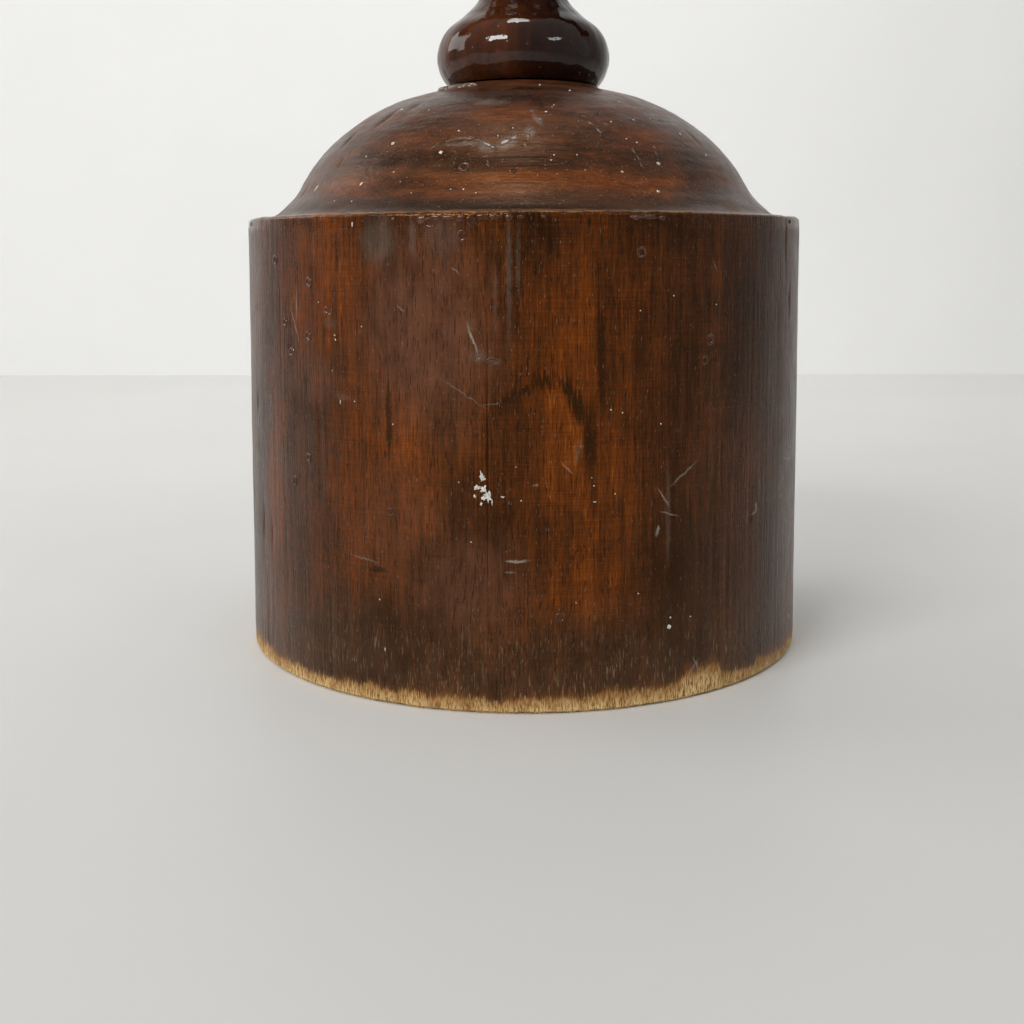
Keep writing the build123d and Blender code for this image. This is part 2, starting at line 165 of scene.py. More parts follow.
def lathe(name, profile, columns, relief=None):
    """A turned mesh in metres. profile is closed round a bore, or runs from the axis to the axis.

    relief(angle, radius, height) gives how far each point stands in or out, in millimetres."""
    on_axis = profile[0][0] < 1e-6
    rows = profile[1:-1] if on_axis else profile
    angle = np.linspace(0, 2 * math.pi, columns, endpoint=False)
    along = np.roll(rows, -1, axis=0) - np.roll(rows, 1, axis=0)
    along /= np.maximum(np.linalg.norm(along, axis=1), 1e-9)[:, None]
    radius = np.repeat(rows[:, :1], columns, axis=1)
    height = np.repeat(rows[:, 1:], columns, axis=1)
    turn = np.repeat(angle[None, :], len(rows), axis=0)
    if relief is not None:
        out = relief(turn, radius, height)
        radius, height = radius + out * along[:, 1:], height - out * along[:, :1]
    points = np.stack((radius * np.sin(turn), -radius * np.cos(turn), height), axis=-1)
    vertices = points.reshape(-1, 3) * MM
    last = len(rows) - 1 if on_axis else len(rows)
    row, column = np.meshgrid(np.arange(last), np.arange(columns), indexing="ij")
    above, beside = (row + 1) % len(rows), (column + 1) % columns
    corners = ((row, column), (row, beside), (above, beside), (above, column))
    quads = np.stack([r * columns + c for r, c in corners], axis=-1)
    faces = quads.reshape(-1, 4).tolist()
    if on_axis:
        poles = np.array([[0, 0, profile[0][1]], [0, 0, profile[-1][1]]]) * MM
        vertices = np.vstack((vertices, poles))
        first, second = len(rows) * columns, len(rows) * columns + 1
        top = (len(rows) - 1) * columns
        for i in range(columns):
            j = (i + 1) % columns
            faces.append([first, j, i])
            faces.append([second, top + i, top + j])
    return new_object(name, vertices, faces)


def prism(name, corners, low, high, axis):
    """A straight-sided cutter: corners in the two other axes, from low to high along the axis."""
    count = len(corners)
    vertices = []
    for level in (low, high):
        for a, b in corners:
            vertices.append({"X": (level, a, b), "Y": (a, level, b), "Z": (a, b, level)}[axis])
    faces = [list(range(count))[::-1], list(range(count, 2 * count))]
    faces += [[i, (i + 1) % count, count + (i + 1) % count, count + i] for i in range(count)]
    piece = new_object(name, np.array(vertices) * MM, faces)
    shape = bmesh.new()
    shape.from_mesh(piece.data)
    bmesh.ops.recalc_face_normals(shape, faces=shape.faces)
    shape.to_mesh(piece.data)
    shape.free()
    return piece


def cut(piece, cutter, operation="DIFFERENCE"):
    """Applies one boolean to a piece and throws the cutter away."""
    modifier = piece.modifiers.new("cut", "BOOLEAN")
    modifier.operation, modifier.solver, modifier.object = operation, "MANIFOLD", cutter
    shape = bpy.data.meshes.new_from_object(piece.evaluated_get(bpy.context.evaluated_depsgraph_get()))
    piece.modifiers.clear()
    piece.data = shape
    bpy.data.objects.remove(cutter)
    return piece


# ---- drum ---------------------------------------------------------------------------------------
SKIN_STEP = 0.75


def drum_profile():
    """The drum's closed outline: skin, top, bore, ceiling, chamber and the base plate's recess."""
    bevel, top = 1.0, TOP_ROUND
    foot = straight((RECESS_RADIUS, 0), (FOOT_RADIUS - bevel, 0), 3)
    toe = straight((FOOT_RADIUS - bevel, 0), (FOOT_RADIUS, bevel), 0.5)
    skin = straight((FOOT_RADIUS, bevel), (TOP_RADIUS, DRUM_HEIGHT - top), SKIN_STEP)
    rim = elliptical((TOP_RADIUS - top, DRUM_HEIGHT - top), (top, top), 0, 90, 0.4)
    ledge = straight((TOP_RADIUS - top, DRUM_HEIGHT), (DOME_FOOT_RADIUS - 4, DRUM_HEIGHT), 0.8)
    inside = [
        (DOME_FOOT_RADIUS - 4, DRUM_HEIGHT),
        (BARREL_RADIUS, DRUM_HEIGHT),
        (BARREL_RADIUS, CEILING_Z),
        (CHAMBER_RADIUS, CEILING_Z),
        (CHAMBER_RADIUS, RECESS_Z),
        (RECESS_RADIUS, RECESS_Z),
        (RECESS_RADIUS, 0),
    ]
    walls = [straight(a, b, 7) for a, b in zip(inside, inside[1:])]
    return outline(foot, toe, skin, rim, ledge, *walls)[:-1]


# Knocks and runs of varnish on the drum: (degrees from the front, height), (half width, half
# height), depth.
KNOCKS = [
    ((-26.5, 43.5), (3.2, 1.3), 0.5), ((-7.8, 112), (1.6, 1.2), 0.35), ((-5.3, 110.5), (2, 1), 0.3),
    ((-11, 38), (4, 1.2), 0.2), ((47, 56), (1.2, 2), 0.3), ((-66, 92), (1, 3), 0.4),
    ((61, 146), (0.9, 9), 0.35), ((64, 126), (1, 6), 0.4), ((-63, 50), (0.9, 8), 0.4),
    ((-58, 47), (0.8, 6), 0.35),
]
DRIPS = [
    ((-4.6, 134), (0.75, 15), 0.3), ((-2.6, 133), (1.05, 18), 0.42), ((-1, 137), (0.75, 13), 0.36),
    ((-24.5, 148), (3.6, 5.5), 0.25), ((-19.5, 147), (0.9, 6), 0.3), ((-13.5, 147), (4.5, 5), 0.2),
]


def drum_relief(angle, radius, height):
    """Turning waves, upright grain crevices and knocks. Only the outside is worn."""
    outside = np.clip((radius - 94) / 3, 0, 1)
    waves = 0.10 * ring_field(3, angle, height / 40) + 0.05 * ring_field(4, angle, height / 9)
    ridges = np.minimum(0, ring_field(5, angle, height / 38 + 7, 6) + 0.25)
    old_wood = np.clip(0.35 + 0.8 * ring_field(6, angle, height / 60), 0.1, 1)
    relief = waves + 0.42 * ridges * old_wood
    rim = np.clip((height - (DRUM_HEIGHT - 4)) / 3, 0, 1)
    relief -= rim * 0.22 * np.clip(ring_field(8, angle, angle * 0, 2) + 0.3, 0, 1)
    toe = np.clip((4 - height) / 4, 0, 1)
    relief -= toe * 0.30 * np.clip(ring_field(9, angle, height / 2, 4) + 0.4, 0, 1)
    for place, size, depth in KNOCKS:
        relief -= depth * bump_at(angle, height, place, size)
    for place, size, depth in DRIPS:
        relief += depth * bump_at(angle, height, place, size)
    taper_room = (FOOT_RADIUS - TOP_RADIUS) / DRUM_HEIGHT * (height - 1)
    return np.minimum(relief * outside, taper_room)


def window_cutter():
    arch = np.radians(np.linspace(0, 180, 41))
    corners = [(-WINDOW_HALF_WIDTH, WINDOW_SILL_Z), (WINDOW_HALF_WIDTH, WINDOW_SILL_Z)]
    corners += [
        (WINDOW_HALF_WIDTH * math.cos(t), WINDOW_SPRING_Z + WINDOW_HALF_WIDTH * math.sin(t))
        for t in arch
    ]
    return prism("window_cutter", corners, 1, 150, "Y")


def is_open(seam):
    """Whether a glue line is the one that has opened."""
    return abs(seam - OPEN_SEAM) < 2


def settle_seams(piece, seams):
    """Eases the outer corners of a plank along its glue lines, unevenly, as shrinkage leaves them."""
    mesh = piece.data
    points = np.empty(len(mesh.vertices) * 3, np.float32)
    mesh.vertices.foreach_get("co", points)
    points = points.reshape(-1, 3).astype(float) / MM
    radius = np.hypot(points[:, 0], points[:, 1])
    skin = radius > TOP_RADIUS - 3.5
    for seam in seams:
        on_seam = skin & (np.abs(points[:, 0] - seam) < 1e-3)
        gape = 1 + field(int(seam) + 200, points[:, 2] / 11, points[:, 1] / 90)
        opened = (points[:, 2] > OPEN_LOW) & (points[:, 2] < OPEN_HIGH) & is_open(seam)
        depth = np.where(opened, 0.14, 0.03) * gape
        shrink = np.where(on_seam, depth, 0) / np.maximum(radius, 1)
        points[:, :2] *= (1 - shrink)[:, None]
    mesh.vertices.foreach_set("co", (points * MM).astype(np.float32).ravel())
    mesh.update()


def make_planks():
    drum = lathe("drum_whole", drum_profile(), 880, drum_relief)
    cut(drum, window_cutter())
    far, below, above = 130, -20, 180
    edges = [-far, *SEAMS, far]
    pieces = []
    for name, left, right in zip(PLANKS, edges, edges[1:]):
        piece = bpy.data.objects.new(name + "_wood", drum.data.copy())
        bpy.context.scene.collection.objects.link(piece)
        square = [(-far, below), (far, below), (far, above), (-far, above)]
        cut(piece, prism("slab", square, left, right, "X"), "INTERSECT")
        settle_seams(piece, [x for x in (left, right) if abs(x) < far])
        finish_shading(piece)
        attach(piece, "drum")
        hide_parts(name)
        pieces.append(piece)
    bpy.data.objects.remove(drum)
    return pieces


# ---- dome ---------------------------------------------------------------------------------------
def crown_angle(z):
    return math.degrees(math.asin((z - CROWN_CENTRE_Z) / CROWN_HEIGHT))


def dome_profile():
    step = 0.8
    low, high = crown_angle(CROWN_LOW_Z), crown_angle(DOME_SEAT_Z)
    crown = elliptical((0, CROWN_CENTRE_Z), (CROWN_RADIUS, CROWN_HEIGHT), low, high, step)
    cove = [(DOME_FOOT_RADIUS, DRUM_HEIGHT), (85.0, 159.6), crown[0]]
    cove = smooth_curve(cove, (-1, 0.16), crown[1] - crown[0], step)
    inside = [
        tuple(crown[-1]),
        (DOME_HOLE_RADIUS, DOME_SEAT_Z),
        (DOME_HOLE_RADIUS, BARREL_TOP_Z),
        (BARREL_RADIUS, BARREL_TOP_Z),
        (BARREL_RADIUS, DRUM_HEIGHT),
        (DOME_FOOT_RADIUS, DRUM_HEIGHT),
    ]
    walls = [straight(a, b, 3) for a, b in zip(inside, inside[1:])]
    return outline(cove, crown, *walls)[:-1]


# Knocks on the dome: (degrees from the front, height), (half width, half height), depth.
DOME_KNOCKS = [
    ((-48, 187), (2.2, 3.2), 0.45), ((-58, 180), (1.6, 2.4), 0.45), ((-52, 172), (1.2, 1.6), 0.4),
    ((-66, 163), (1.4, 2.4), 0.4), ((-40, 190), (3, 1.6), 0.3), ((-12, 176), (1.6, 1.2), 0.25),
    ((55, 180), (2, 2.6), 0.3),
]


def dome_relief(angle, radius, height):
    outside = np.clip((height - DRUM_HEIGHT - 0.6) / 2, 0, 1) * np.clip((radius - 27) / 2, 0, 1)
    relief = 0.10 * ring_field(21, angle, height / 6)
    relief += 0.08 * field(22, radius * np.sin(angle) / 9, height / 1.1)
    relief += 0.55 * np.exp(-(((height - 160) / 3.5) ** 2)) - 1.15 * np.exp(-(((height - 200.5) / 4) ** 2))
    for place, size, depth in DOME_KNOCKS:
        relief -= depth * bump_at(angle, height, place, size)
    return relief * outside


def make_dome():
    dome = lathe("dome_wood", dome_profile(), 640, dome_relief)
    finish_shading(dome)
    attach(dome, "drum")
    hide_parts("dome_cap")
    return dome


# ---- handle stem --------------------------------------------------------------------------------
def stem_profile():
    """The same turned outline as the frame's stem, with its sockets, from axis to axis."""
    step = 0.6
    bead_centre, bead_radius = (17.2, 211.2), 13.85
    low = math.degrees(math.asin((STEM_LOW_Z - bead_centre[1]) / bead_radius))
    bead = elliptical(bead_centre, (bead_radius, bead_radius), low, 41, step)
    low_neck = [bead[-1], (21.5, 225.2), (15.9, 231.3), (15.3, 238.0)]
    neck = smooth_curve(low_neck, (-0.66, 0.75), (0, 1), step)
    flare = smooth_curve([(15.3, 238.0), (17.0, 243.6), (20.5, 247.6)], (0, 1), (1, 0.5), step)
    collar = smooth_curve([(20.5, 247.6), (21.9, 250.2), (20.0, 252.4)], (1, 0.5), (-1, 0.55), step)
    ball = [(20.0, 252.4), (25.3, 261.0), (27.0, 272.0), (22.4, 287.0), (10.0, STEM_TOP_Z)]
    ball = smooth_curve(ball, (0.8, 1), (-1, 0.12), step)
    screw_radius, screw_top = 9, 236
    socket = outline(
        straight((0, screw_top), (screw_radius, screw_top), 3),
        straight((screw_radius, screw_top), (screw_radius, STEM_LOW_Z), 6),
        straight((screw_radius, STEM_LOW_Z), bead[0], 3),
    )
    pin_radius, pin_z = 5, STEM_TOP_Z - 12
    top = outline(
        straight((10, STEM_TOP_Z), (pin_radius, STEM_TOP_Z), 2),
        straight((pin_radius, STEM_TOP_Z), (pin_radius, pin_z), 4),
        straight((pin_radius, pin_z), (0, pin_z), 3),
    )
    return outline(socket, bead, neck, flare, collar, ball, top)


def stem_relief(angle, radius, height):
    outside = np.clip((radius - 11) / 3, 0, 1) * np.clip((height - STEM_LOW_Z - 0.5) / 2, 0, 1)
    waves = 0.09 * ring_field(31, angle, height / 7) + 0.03 * ring_field(32, angle, height / 2.5)
    return outside * waves


def make_stem():
    stem = lathe("handle_stem_wood", stem_profile(), 320, stem_relief)
    bar_z = (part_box("cross_bar")[0].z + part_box("cross_bar")[1].z) / 2 / MM
    ring = np.radians(np.linspace(0, 360, 97)[:-1])
    hole = [(BAR_RADIUS * math.cos(t), bar_z + BAR_RADIUS * math.sin(t)) for t in ring]
    cut(stem, prism("bar_hole", hole, -60, 60, "X"))
    finish_shading(stem)
    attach(stem, "screw_and_handle")
    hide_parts("handle_stem")
    return stem


# ---- what stands on the varnish: paint specks, chips and blisters -------------------------------
def drum_skin(angle, height):
    """Radius, outward slope (radial, upward) and relief of the drum's side at a place."""
    lean = (FOOT_RADIUS - TOP_RADIUS) / DRUM_HEIGHT
    radius = FOOT_RADIUS - lean * height
    return radius, (1.0, lean), relief_at(drum_relief, angle, radius, height)


def dome_skin(angle, height):
    """The same for the dome, from its own profile."""
    profile = dome_profile()
    last = int(np.argmax(profile[:, 1] >= DOME_SEAT_Z - 1e-6))
    side = profile[:last]
    radius = float(np.interp(height, side[:, 1], side[:, 0]))
    ahead = float(np.interp(height + 1, side[:, 1], side[:, 0]))
    slope = np.array((1.0, radius - ahead))
    return radius, tuple(slope / np.linalg.norm(slope)), relief_at(dome_relief, angle, radius, height)


def relief_at(relief, angle, radius, height):
    place = (np.array([math.radians(angle) % (2 * math.pi)]), np.array([radius]), np.array([height]))
    return float(relief(*place)[0])


def blob(skin, row, rings, ragged, rng):
    """A small closed lump on a turned skin. rings are (share of its size, height in millimetres)."""
    angle, height, wide, *more = row
    high = more[0] if more else wide
    lean = more[1] if len(more) > 1 else 0
    count = 18
    radius, (out, up), raised = skin(angle, height)
    turn = math.radians(lean)
    wobble = 1 + rng.uniform(-ragged, ragged, count)
    vertices, faces = [], []
    levels = [*rings, (0.0, rings[-1][1]), (0.0, -0.35)]
    for share, stand in levels:
        lift = stand + raised
        for k in range(1 if share == 0 else count):
            t = 2 * math.pi * k / count
            a = share * wobble[k] * wide * math.cos(t)
            b = share * wobble[k] * high * math.sin(t)
            along, above = a * math.cos(turn) - b * math.sin(turn), a * math.sin(turn) + b * math.cos(turn)
            at = math.radians(angle) + along / radius
            r = radius - above * up + lift * out
            vertices.append((r * math.sin(at), -r * math.cos(at), height + above * out + lift * up))
    rows = len(rings)
    for row_index in range(rows - 1):
        for k in range(count):
            low, high_row = row_index * count, (row_index + 1) * count
            after = (k + 1) % count
            faces.append([low + k, low + after, high_row + after, high_row + k])
    peak, sunk, top = rows * count, rows * count + 1, (rows - 1) * count
    for k in range(count):
        faces.append([top + k, top + (k + 1) % count, peak])
        faces.append([(k + 1) % count, k, sunk])
    return vertices, faces


def blobs(name, skin, rows, rings, seed, ragged=0.18):
    rng = np.random.default_rng(seed)
    vertices, faces = [], []
    for row in rows:
        more, joined = blob(skin, row, rings, ragged, rng)
        faces += [[i + len(vertices) for i in face] for face in joined]
        vertices += more
    piece = new_object(name, np.array(vertices) * MM, faces)
    finish_shading(piece, 60)
    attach(piece, "drum")
    return piece


SPECK = [(1.0, -0.12), (0.85, 0.05), (0.5, 0.16)]
FLAKE = [(1.0, -0.12), (0.96, 0.10), (0.6, 0.14)]
BLISTER = [(1.0, -0.15), (0.88, 0.17), (0.72, 0.22), (0.55, 0.05), (0.40, -0.15)]
DROP = [(1.0, -0.20), (0.90, 0.10), (0.65, 0.24), (0.35, 0.32)]
SMEAR = [(1.0, -0.12), (0.85, 0.07), (0.40, 0.11)]
# Each row is (degrees from the front, height, half width, half height, lean in degrees). A row with
# no lean stands upright, and one with no half height is round.
DRUM_SPECKS = [
    (26.8, 25.3, 0.75, 0.8), (27, 28.3, 0.35), (15.2, 95.5, 0.3), (17.3, 94.5, 0.2, 0.25),
    (24.7, 90.5, 0.3), (27.1, 129.4, 0.25), (36.7, 126.4, 0.25), (20.5, 125.1, 0.25),
    (-40, 127.2, 0.25), (-29.7, 120.2, 0.25), (-36.6, 106.1, 0.2), (-23.4, 90.6, 0.25),
    (-35.9, 117.2, 0.4, 0.25, -25), (-35.7, 115.8, 0.25, 0.4, 20), (-34.7, 96.5, 0.2, 0.8),
    (-31.4, 96.9, 0.25), (-31.5, 150.9, 0.25, 0.8), (-11.2, 73.6, 0.2), (-1.3, 78.6, 0.3, 0.2),
    (-0.4, 68.2, 0.2, 0.3), (-26.4, 34.4, 0.25, 0.3), (-25.4, 18.2, 0.2, 0.8), (-9.1, 55.1, 0.25),
    (12.2, 72.4, 0.25), (16, 69.6, 0.25), (11.8, 74.9, 0.2), (12.4, 67.4, 0.65, 0.2),
    (31.4, 27.5, 0.25), (20.5, 37.4, 0.25, 0.3), (9.1, 35.9, 0.2), (60, 60, 0.25), (100, 84, 0.3),
    (128, 36, 0.35, 0.25), (-104, 118, 0.25), (-131, 58, 0.3, 0.35), (-96, 32, 0.25),
]
DRUM_FLAKES = [
    (-7.2, 75.8, 0.5, 1.35, 12), (-7, 75, 0.8), (-7.9, 72.2, 1.1, 0.7, 10),
    (-6.9, 71.6, 0.8, 1.15, -20), (-6.1, 69.6, 1, 1.7, 8), (-6.9, 68.9, 1.15, 0.7, 20),
    (-7.3, 67.2, 0.4, 0.5), (-5.4, 67.6, 0.25, 0.8), (-8.4, 69.4, 0.35, 0.5), (-3.6, 69.4, 0.7, 0.3),
]
DOME_SPECKS = [
    (-35.2, 177, 0.7), (-19.8, 173.2, 0.7), (6.7, 186.2, 0.45), (33.2, 170, 0.75), (22.6, 167, 0.45),
    (30, 160.7, 0.65), (-45.6, 189.6, 0.65, 0.45), (-16.9, 180, 0.35), (-2.7, 180.7, 0.3),
    (29.6, 176.6, 0.45, 0.35), (27, 177.7, 0.3), (33.7, 184.6, 0.3), (-39.5, 164, 0.45, 0.9, -30),
    (-58, 163.5, 0.35, 1.45, -15), (-38.8, 158.2, 0.3), (-44.7, 158.5, 0.3), (-30.8, 167.4, 0.3),
    (-28.1, 164.2, 0.25), (-24.2, 160.2, 0.3), (-42.2, 173.2, 0.3), (7.1, 171.9, 0.3, 0.25),
    (6.3, 170.3, 0.35, 0.3), (-2.9, 166.9, 0.25), (-6.3, 178, 0.25), (19.7, 195.2, 0.35),
    (8.9, 198.7, 0.45), (36.1, 191.4, 0.25), (41.4, 185.6, 0.25), (49.2, 181, 0.2, 0.8, -30),
    (54, 174.1, 0.3, 0.35), (-15.4, 161.2, 0.25), (-12.6, 161.2, 0.3), (-9.8, 159.9, 0.3),
    (12.5, 172, 0.25), (25.2, 183.4, 0.3), (-31.3, 188.1, 0.25), (13.8, 167.3, 0.25), (88, 178, 0.45),
    (118, 168, 0.65), (150, 184, 0.35), (-96, 170, 0.45), (-128, 186, 0.45), (-160, 165, 0.35),
    (176, 176, 0.45, 0.35),
]
DRUM_BLISTERS = [
    (-42.7, 133.4, 1.5, 1.8), (-37.4, 124.6, 2, 1.5, -25), (-43, 116.4, 1.5, 1.7),
    (-48.5, 111, 1.7, 1.4, 20), (-54.3, 140.4, 1.5, 1.8), (-50.8, 120.4, 1.3, 1.5),
    (-10.5, 147.3, 1.6, 1.9), (-16, 151.2, 2.3, 1.7), (20.7, 142.4, 1.8, 1.9),
    (35.3, 115.6, 1.6, 2.2, -20), (34.1, 109.3, 1.4, 1.7), (-43.5, 77.2, 1.3, 1.6),
    (-48, 68.5, 1.2, 2, -10), (6.4, 31.4, 1.7, 1.9, -20), (-24, 63, 1.4, 1.6),
    (-7.8, 112, 2.1, 1.3, 15), (-5.3, 110.4, 2.2, 0.9, -8),
]
DOME_BLISTERS = [
    (-13.3, 168.4, 1.9, 1.8), (-2.2, 166.9, 1.1, 0.9, 20), (9.4, 188.4, 0.9, 1.1),
]
# Drops of varnish that gathered under the rim and dried there.
RIM_DROPS = [
    (-23, 151.4, 0.6, 1.8), (-19.4, 152.1, 0.6, 1.5), (-17.8, 152, 1.9, 1.4), (-15.2, 152.5, 2.2, 0.9),
    (-12.8, 152.6, 2.4, 0.8), (-10.6, 152.2, 1.4, 1.3), (-9, 151.6, 1.4, 1.9, 10),
    (-7, 152.5, 1.9, 0.9), (-4.8, 152.6, 2, 0.8), (-2.4, 152.3, 1.2, 1.1), (-0.6, 152.6, 1.1, 0.7),
    (3.4, 152.7, 1, 0.6), (19.6, 152.5, 1.9, 0.8), (22, 152.6, 2.6, 0.8), (24.6, 152.4, 1.2, 0.9),
    (-71, 152.5, 1.6, 0.8), (64, 152.5, 1.3, 0.8),
]
# Clear glue splashed over the dome and wiped: thin skins with their own edges.
DOME_SMEARS = [
    (-21.6, 175.6, 1.8, 0.45, 38), (-18.2, 177, 2.6, 0.5, 18), (-14.2, 177.7, 2.9, 0.55),
    (-11, 176.8, 2.6, 0.6, -22), (-8.9, 175.4, 2.3, 1.1, -30), (-11.8, 175.3, 2, 0.5, -12),
    (-7.4, 174.3, 1.2, 0.9, -10), (-4.6, 176, 2.6, 1.5, 25), (-2.4, 177.6, 1.6, 1.3, 30),
    (-3.6, 174.2, 0.3, 1.1, -10), (0.4, 175.2, 0.4, 1.2, 20), (1.8, 180.3, 1.3),
    (1.2, 178.2, 0.7, 1.2, 20), (4.2, 184.1, 1.7, 0.8, -48), (2.8, 186.6, 1.3, 0.6, -55),
    (-8.6, 171.6, 1.1, 0.4, 20), (-8, 169.4, 0.4, 1.3, 15), (17.5, 184.9, 1, 0.4, -30),
    (18.6, 182.6, 0.5, 1.1, 25), (20.2, 180, 0.6, 1.5, 12), (23.2, 182.4, 0.5, 0.9, 30),
    (24.6, 180.4, 0.9, 0.4, -30), (27.4, 174.2, 0.35, 1.5, 12), (28, 171.6, 0.3, 1.3, 14),
    (28.1, 169.3, 0.25, 0.8, 10), (34.3, 175.2, 0.3, 1, 12), (33.8, 173.2, 0.35, 1.2, 12),
    (41.2, 184.6, 0.35, 0.9, 30), (48.5, 180.4, 0.3, 0.9, 25), (47.6, 177.2, 0.35, 1, 15),
    (128, 176, 2.4, 0.6, 15), (-148, 181, 2, 0.7, -20),
]
# Loose edge of thick varnish pushed up against the foot of the handle.
VARNISH_LIP = [
    (-52, 199, 3.4, 1, 12), (-44, 199.5, 5.6, 1.4, 4), (-37, 199.8, 4.2, 1.3),
]
LIP = [(1.0, -0.30), (0.90, 0.40), (0.60, 1.05), (0.30, 1.15)]


def make_marks():
    """Everything that stands on the varnish: pieces of paint, then pieces of varnish and glue."""
    paint = [
        blobs("drum_paint_specks", drum_skin, DRUM_SPECKS, SPECK, 51),
        blobs("drum_paint_chip", drum_skin, DRUM_FLAKES, FLAKE, 52, 0.5),
        blobs("dome_paint_specks", dome_skin, DOME_SPECKS, SPECK, 53),
    ]
    varnish = [
        blobs("drum_varnish_blisters", drum_skin, DRUM_BLISTERS, BLISTER, 54, 0.09),
        blobs("dome_varnish_blisters", dome_skin, DOME_BLISTERS, BLISTER, 55, 0.09),
        blobs("dome_varnish_lip", dome_skin, VARNISH_LIP, LIP, 56, 0.22),
        blobs("drum_varnish_drops", drum_skin, RIM_DROPS, DROP, 57, 0.28),
        blobs("dome_glue_smears", dome_skin, DOME_SMEARS, SMEAR, 58, 0.45),
    ]
    return paint, varnish


# ---- materials: a small notation for node trees --------------------------------------------------
class Num:
    """A number worked out by a material's nodes, written as ordinary arithmetic."""

    def __init__(self, paper, socket):
        self.paper, self.socket = paper, socket

    def math(self, operation, *others):
        node = self.paper.node("ShaderNodeMath", operation=operation)
        for place, value in zip(node.inputs, (self, *others)):
            self.paper.join(value, place)
        return Num(self.paper, node.outputs[0])

    def __add__(self, other):
        return self.math("ADD", other)

    def __sub__(self, other):
        return self.math("SUBTRACT", other)

    def __mul__(self, other):
        return self.math("MULTIPLY", other)

    def __truediv__(self, other):
        return self.math("DIVIDE", other)

    def __neg__(self):
        return self * -1

    def __rsub__(self, other):
        return self * -1 + other

    __radd__, __rmul__ = __add__, __mul__

    def most(self, other):
        return self.math("MAXIMUM", other)

    def size(self):
        return self.math("ABSOLUTE")

    def held(self):
        """The same number kept between 0 and 1."""
        return self.math("MAXIMUM", 0).math("MINIMUM", 1)

    def step(self, low, high):
        """0 where the number is at low or beyond, 1 where it is at high or beyond, smooth between."""
        node = self.paper.node("ShaderNodeMapRange", interpolation_type="SMOOTHSTEP")
        rising = high > low
        for socket, value in (
            ("Value", self),
            ("From Min", min(low, high)),
            ("From Max", max(low, high)),
            ("To Min", 0 if rising else 1),
            ("To Max", 1 if rising else 0),
        ):
            self.paper.join(value, node.inputs[socket])
        return Num(self.paper, node.outputs[0])


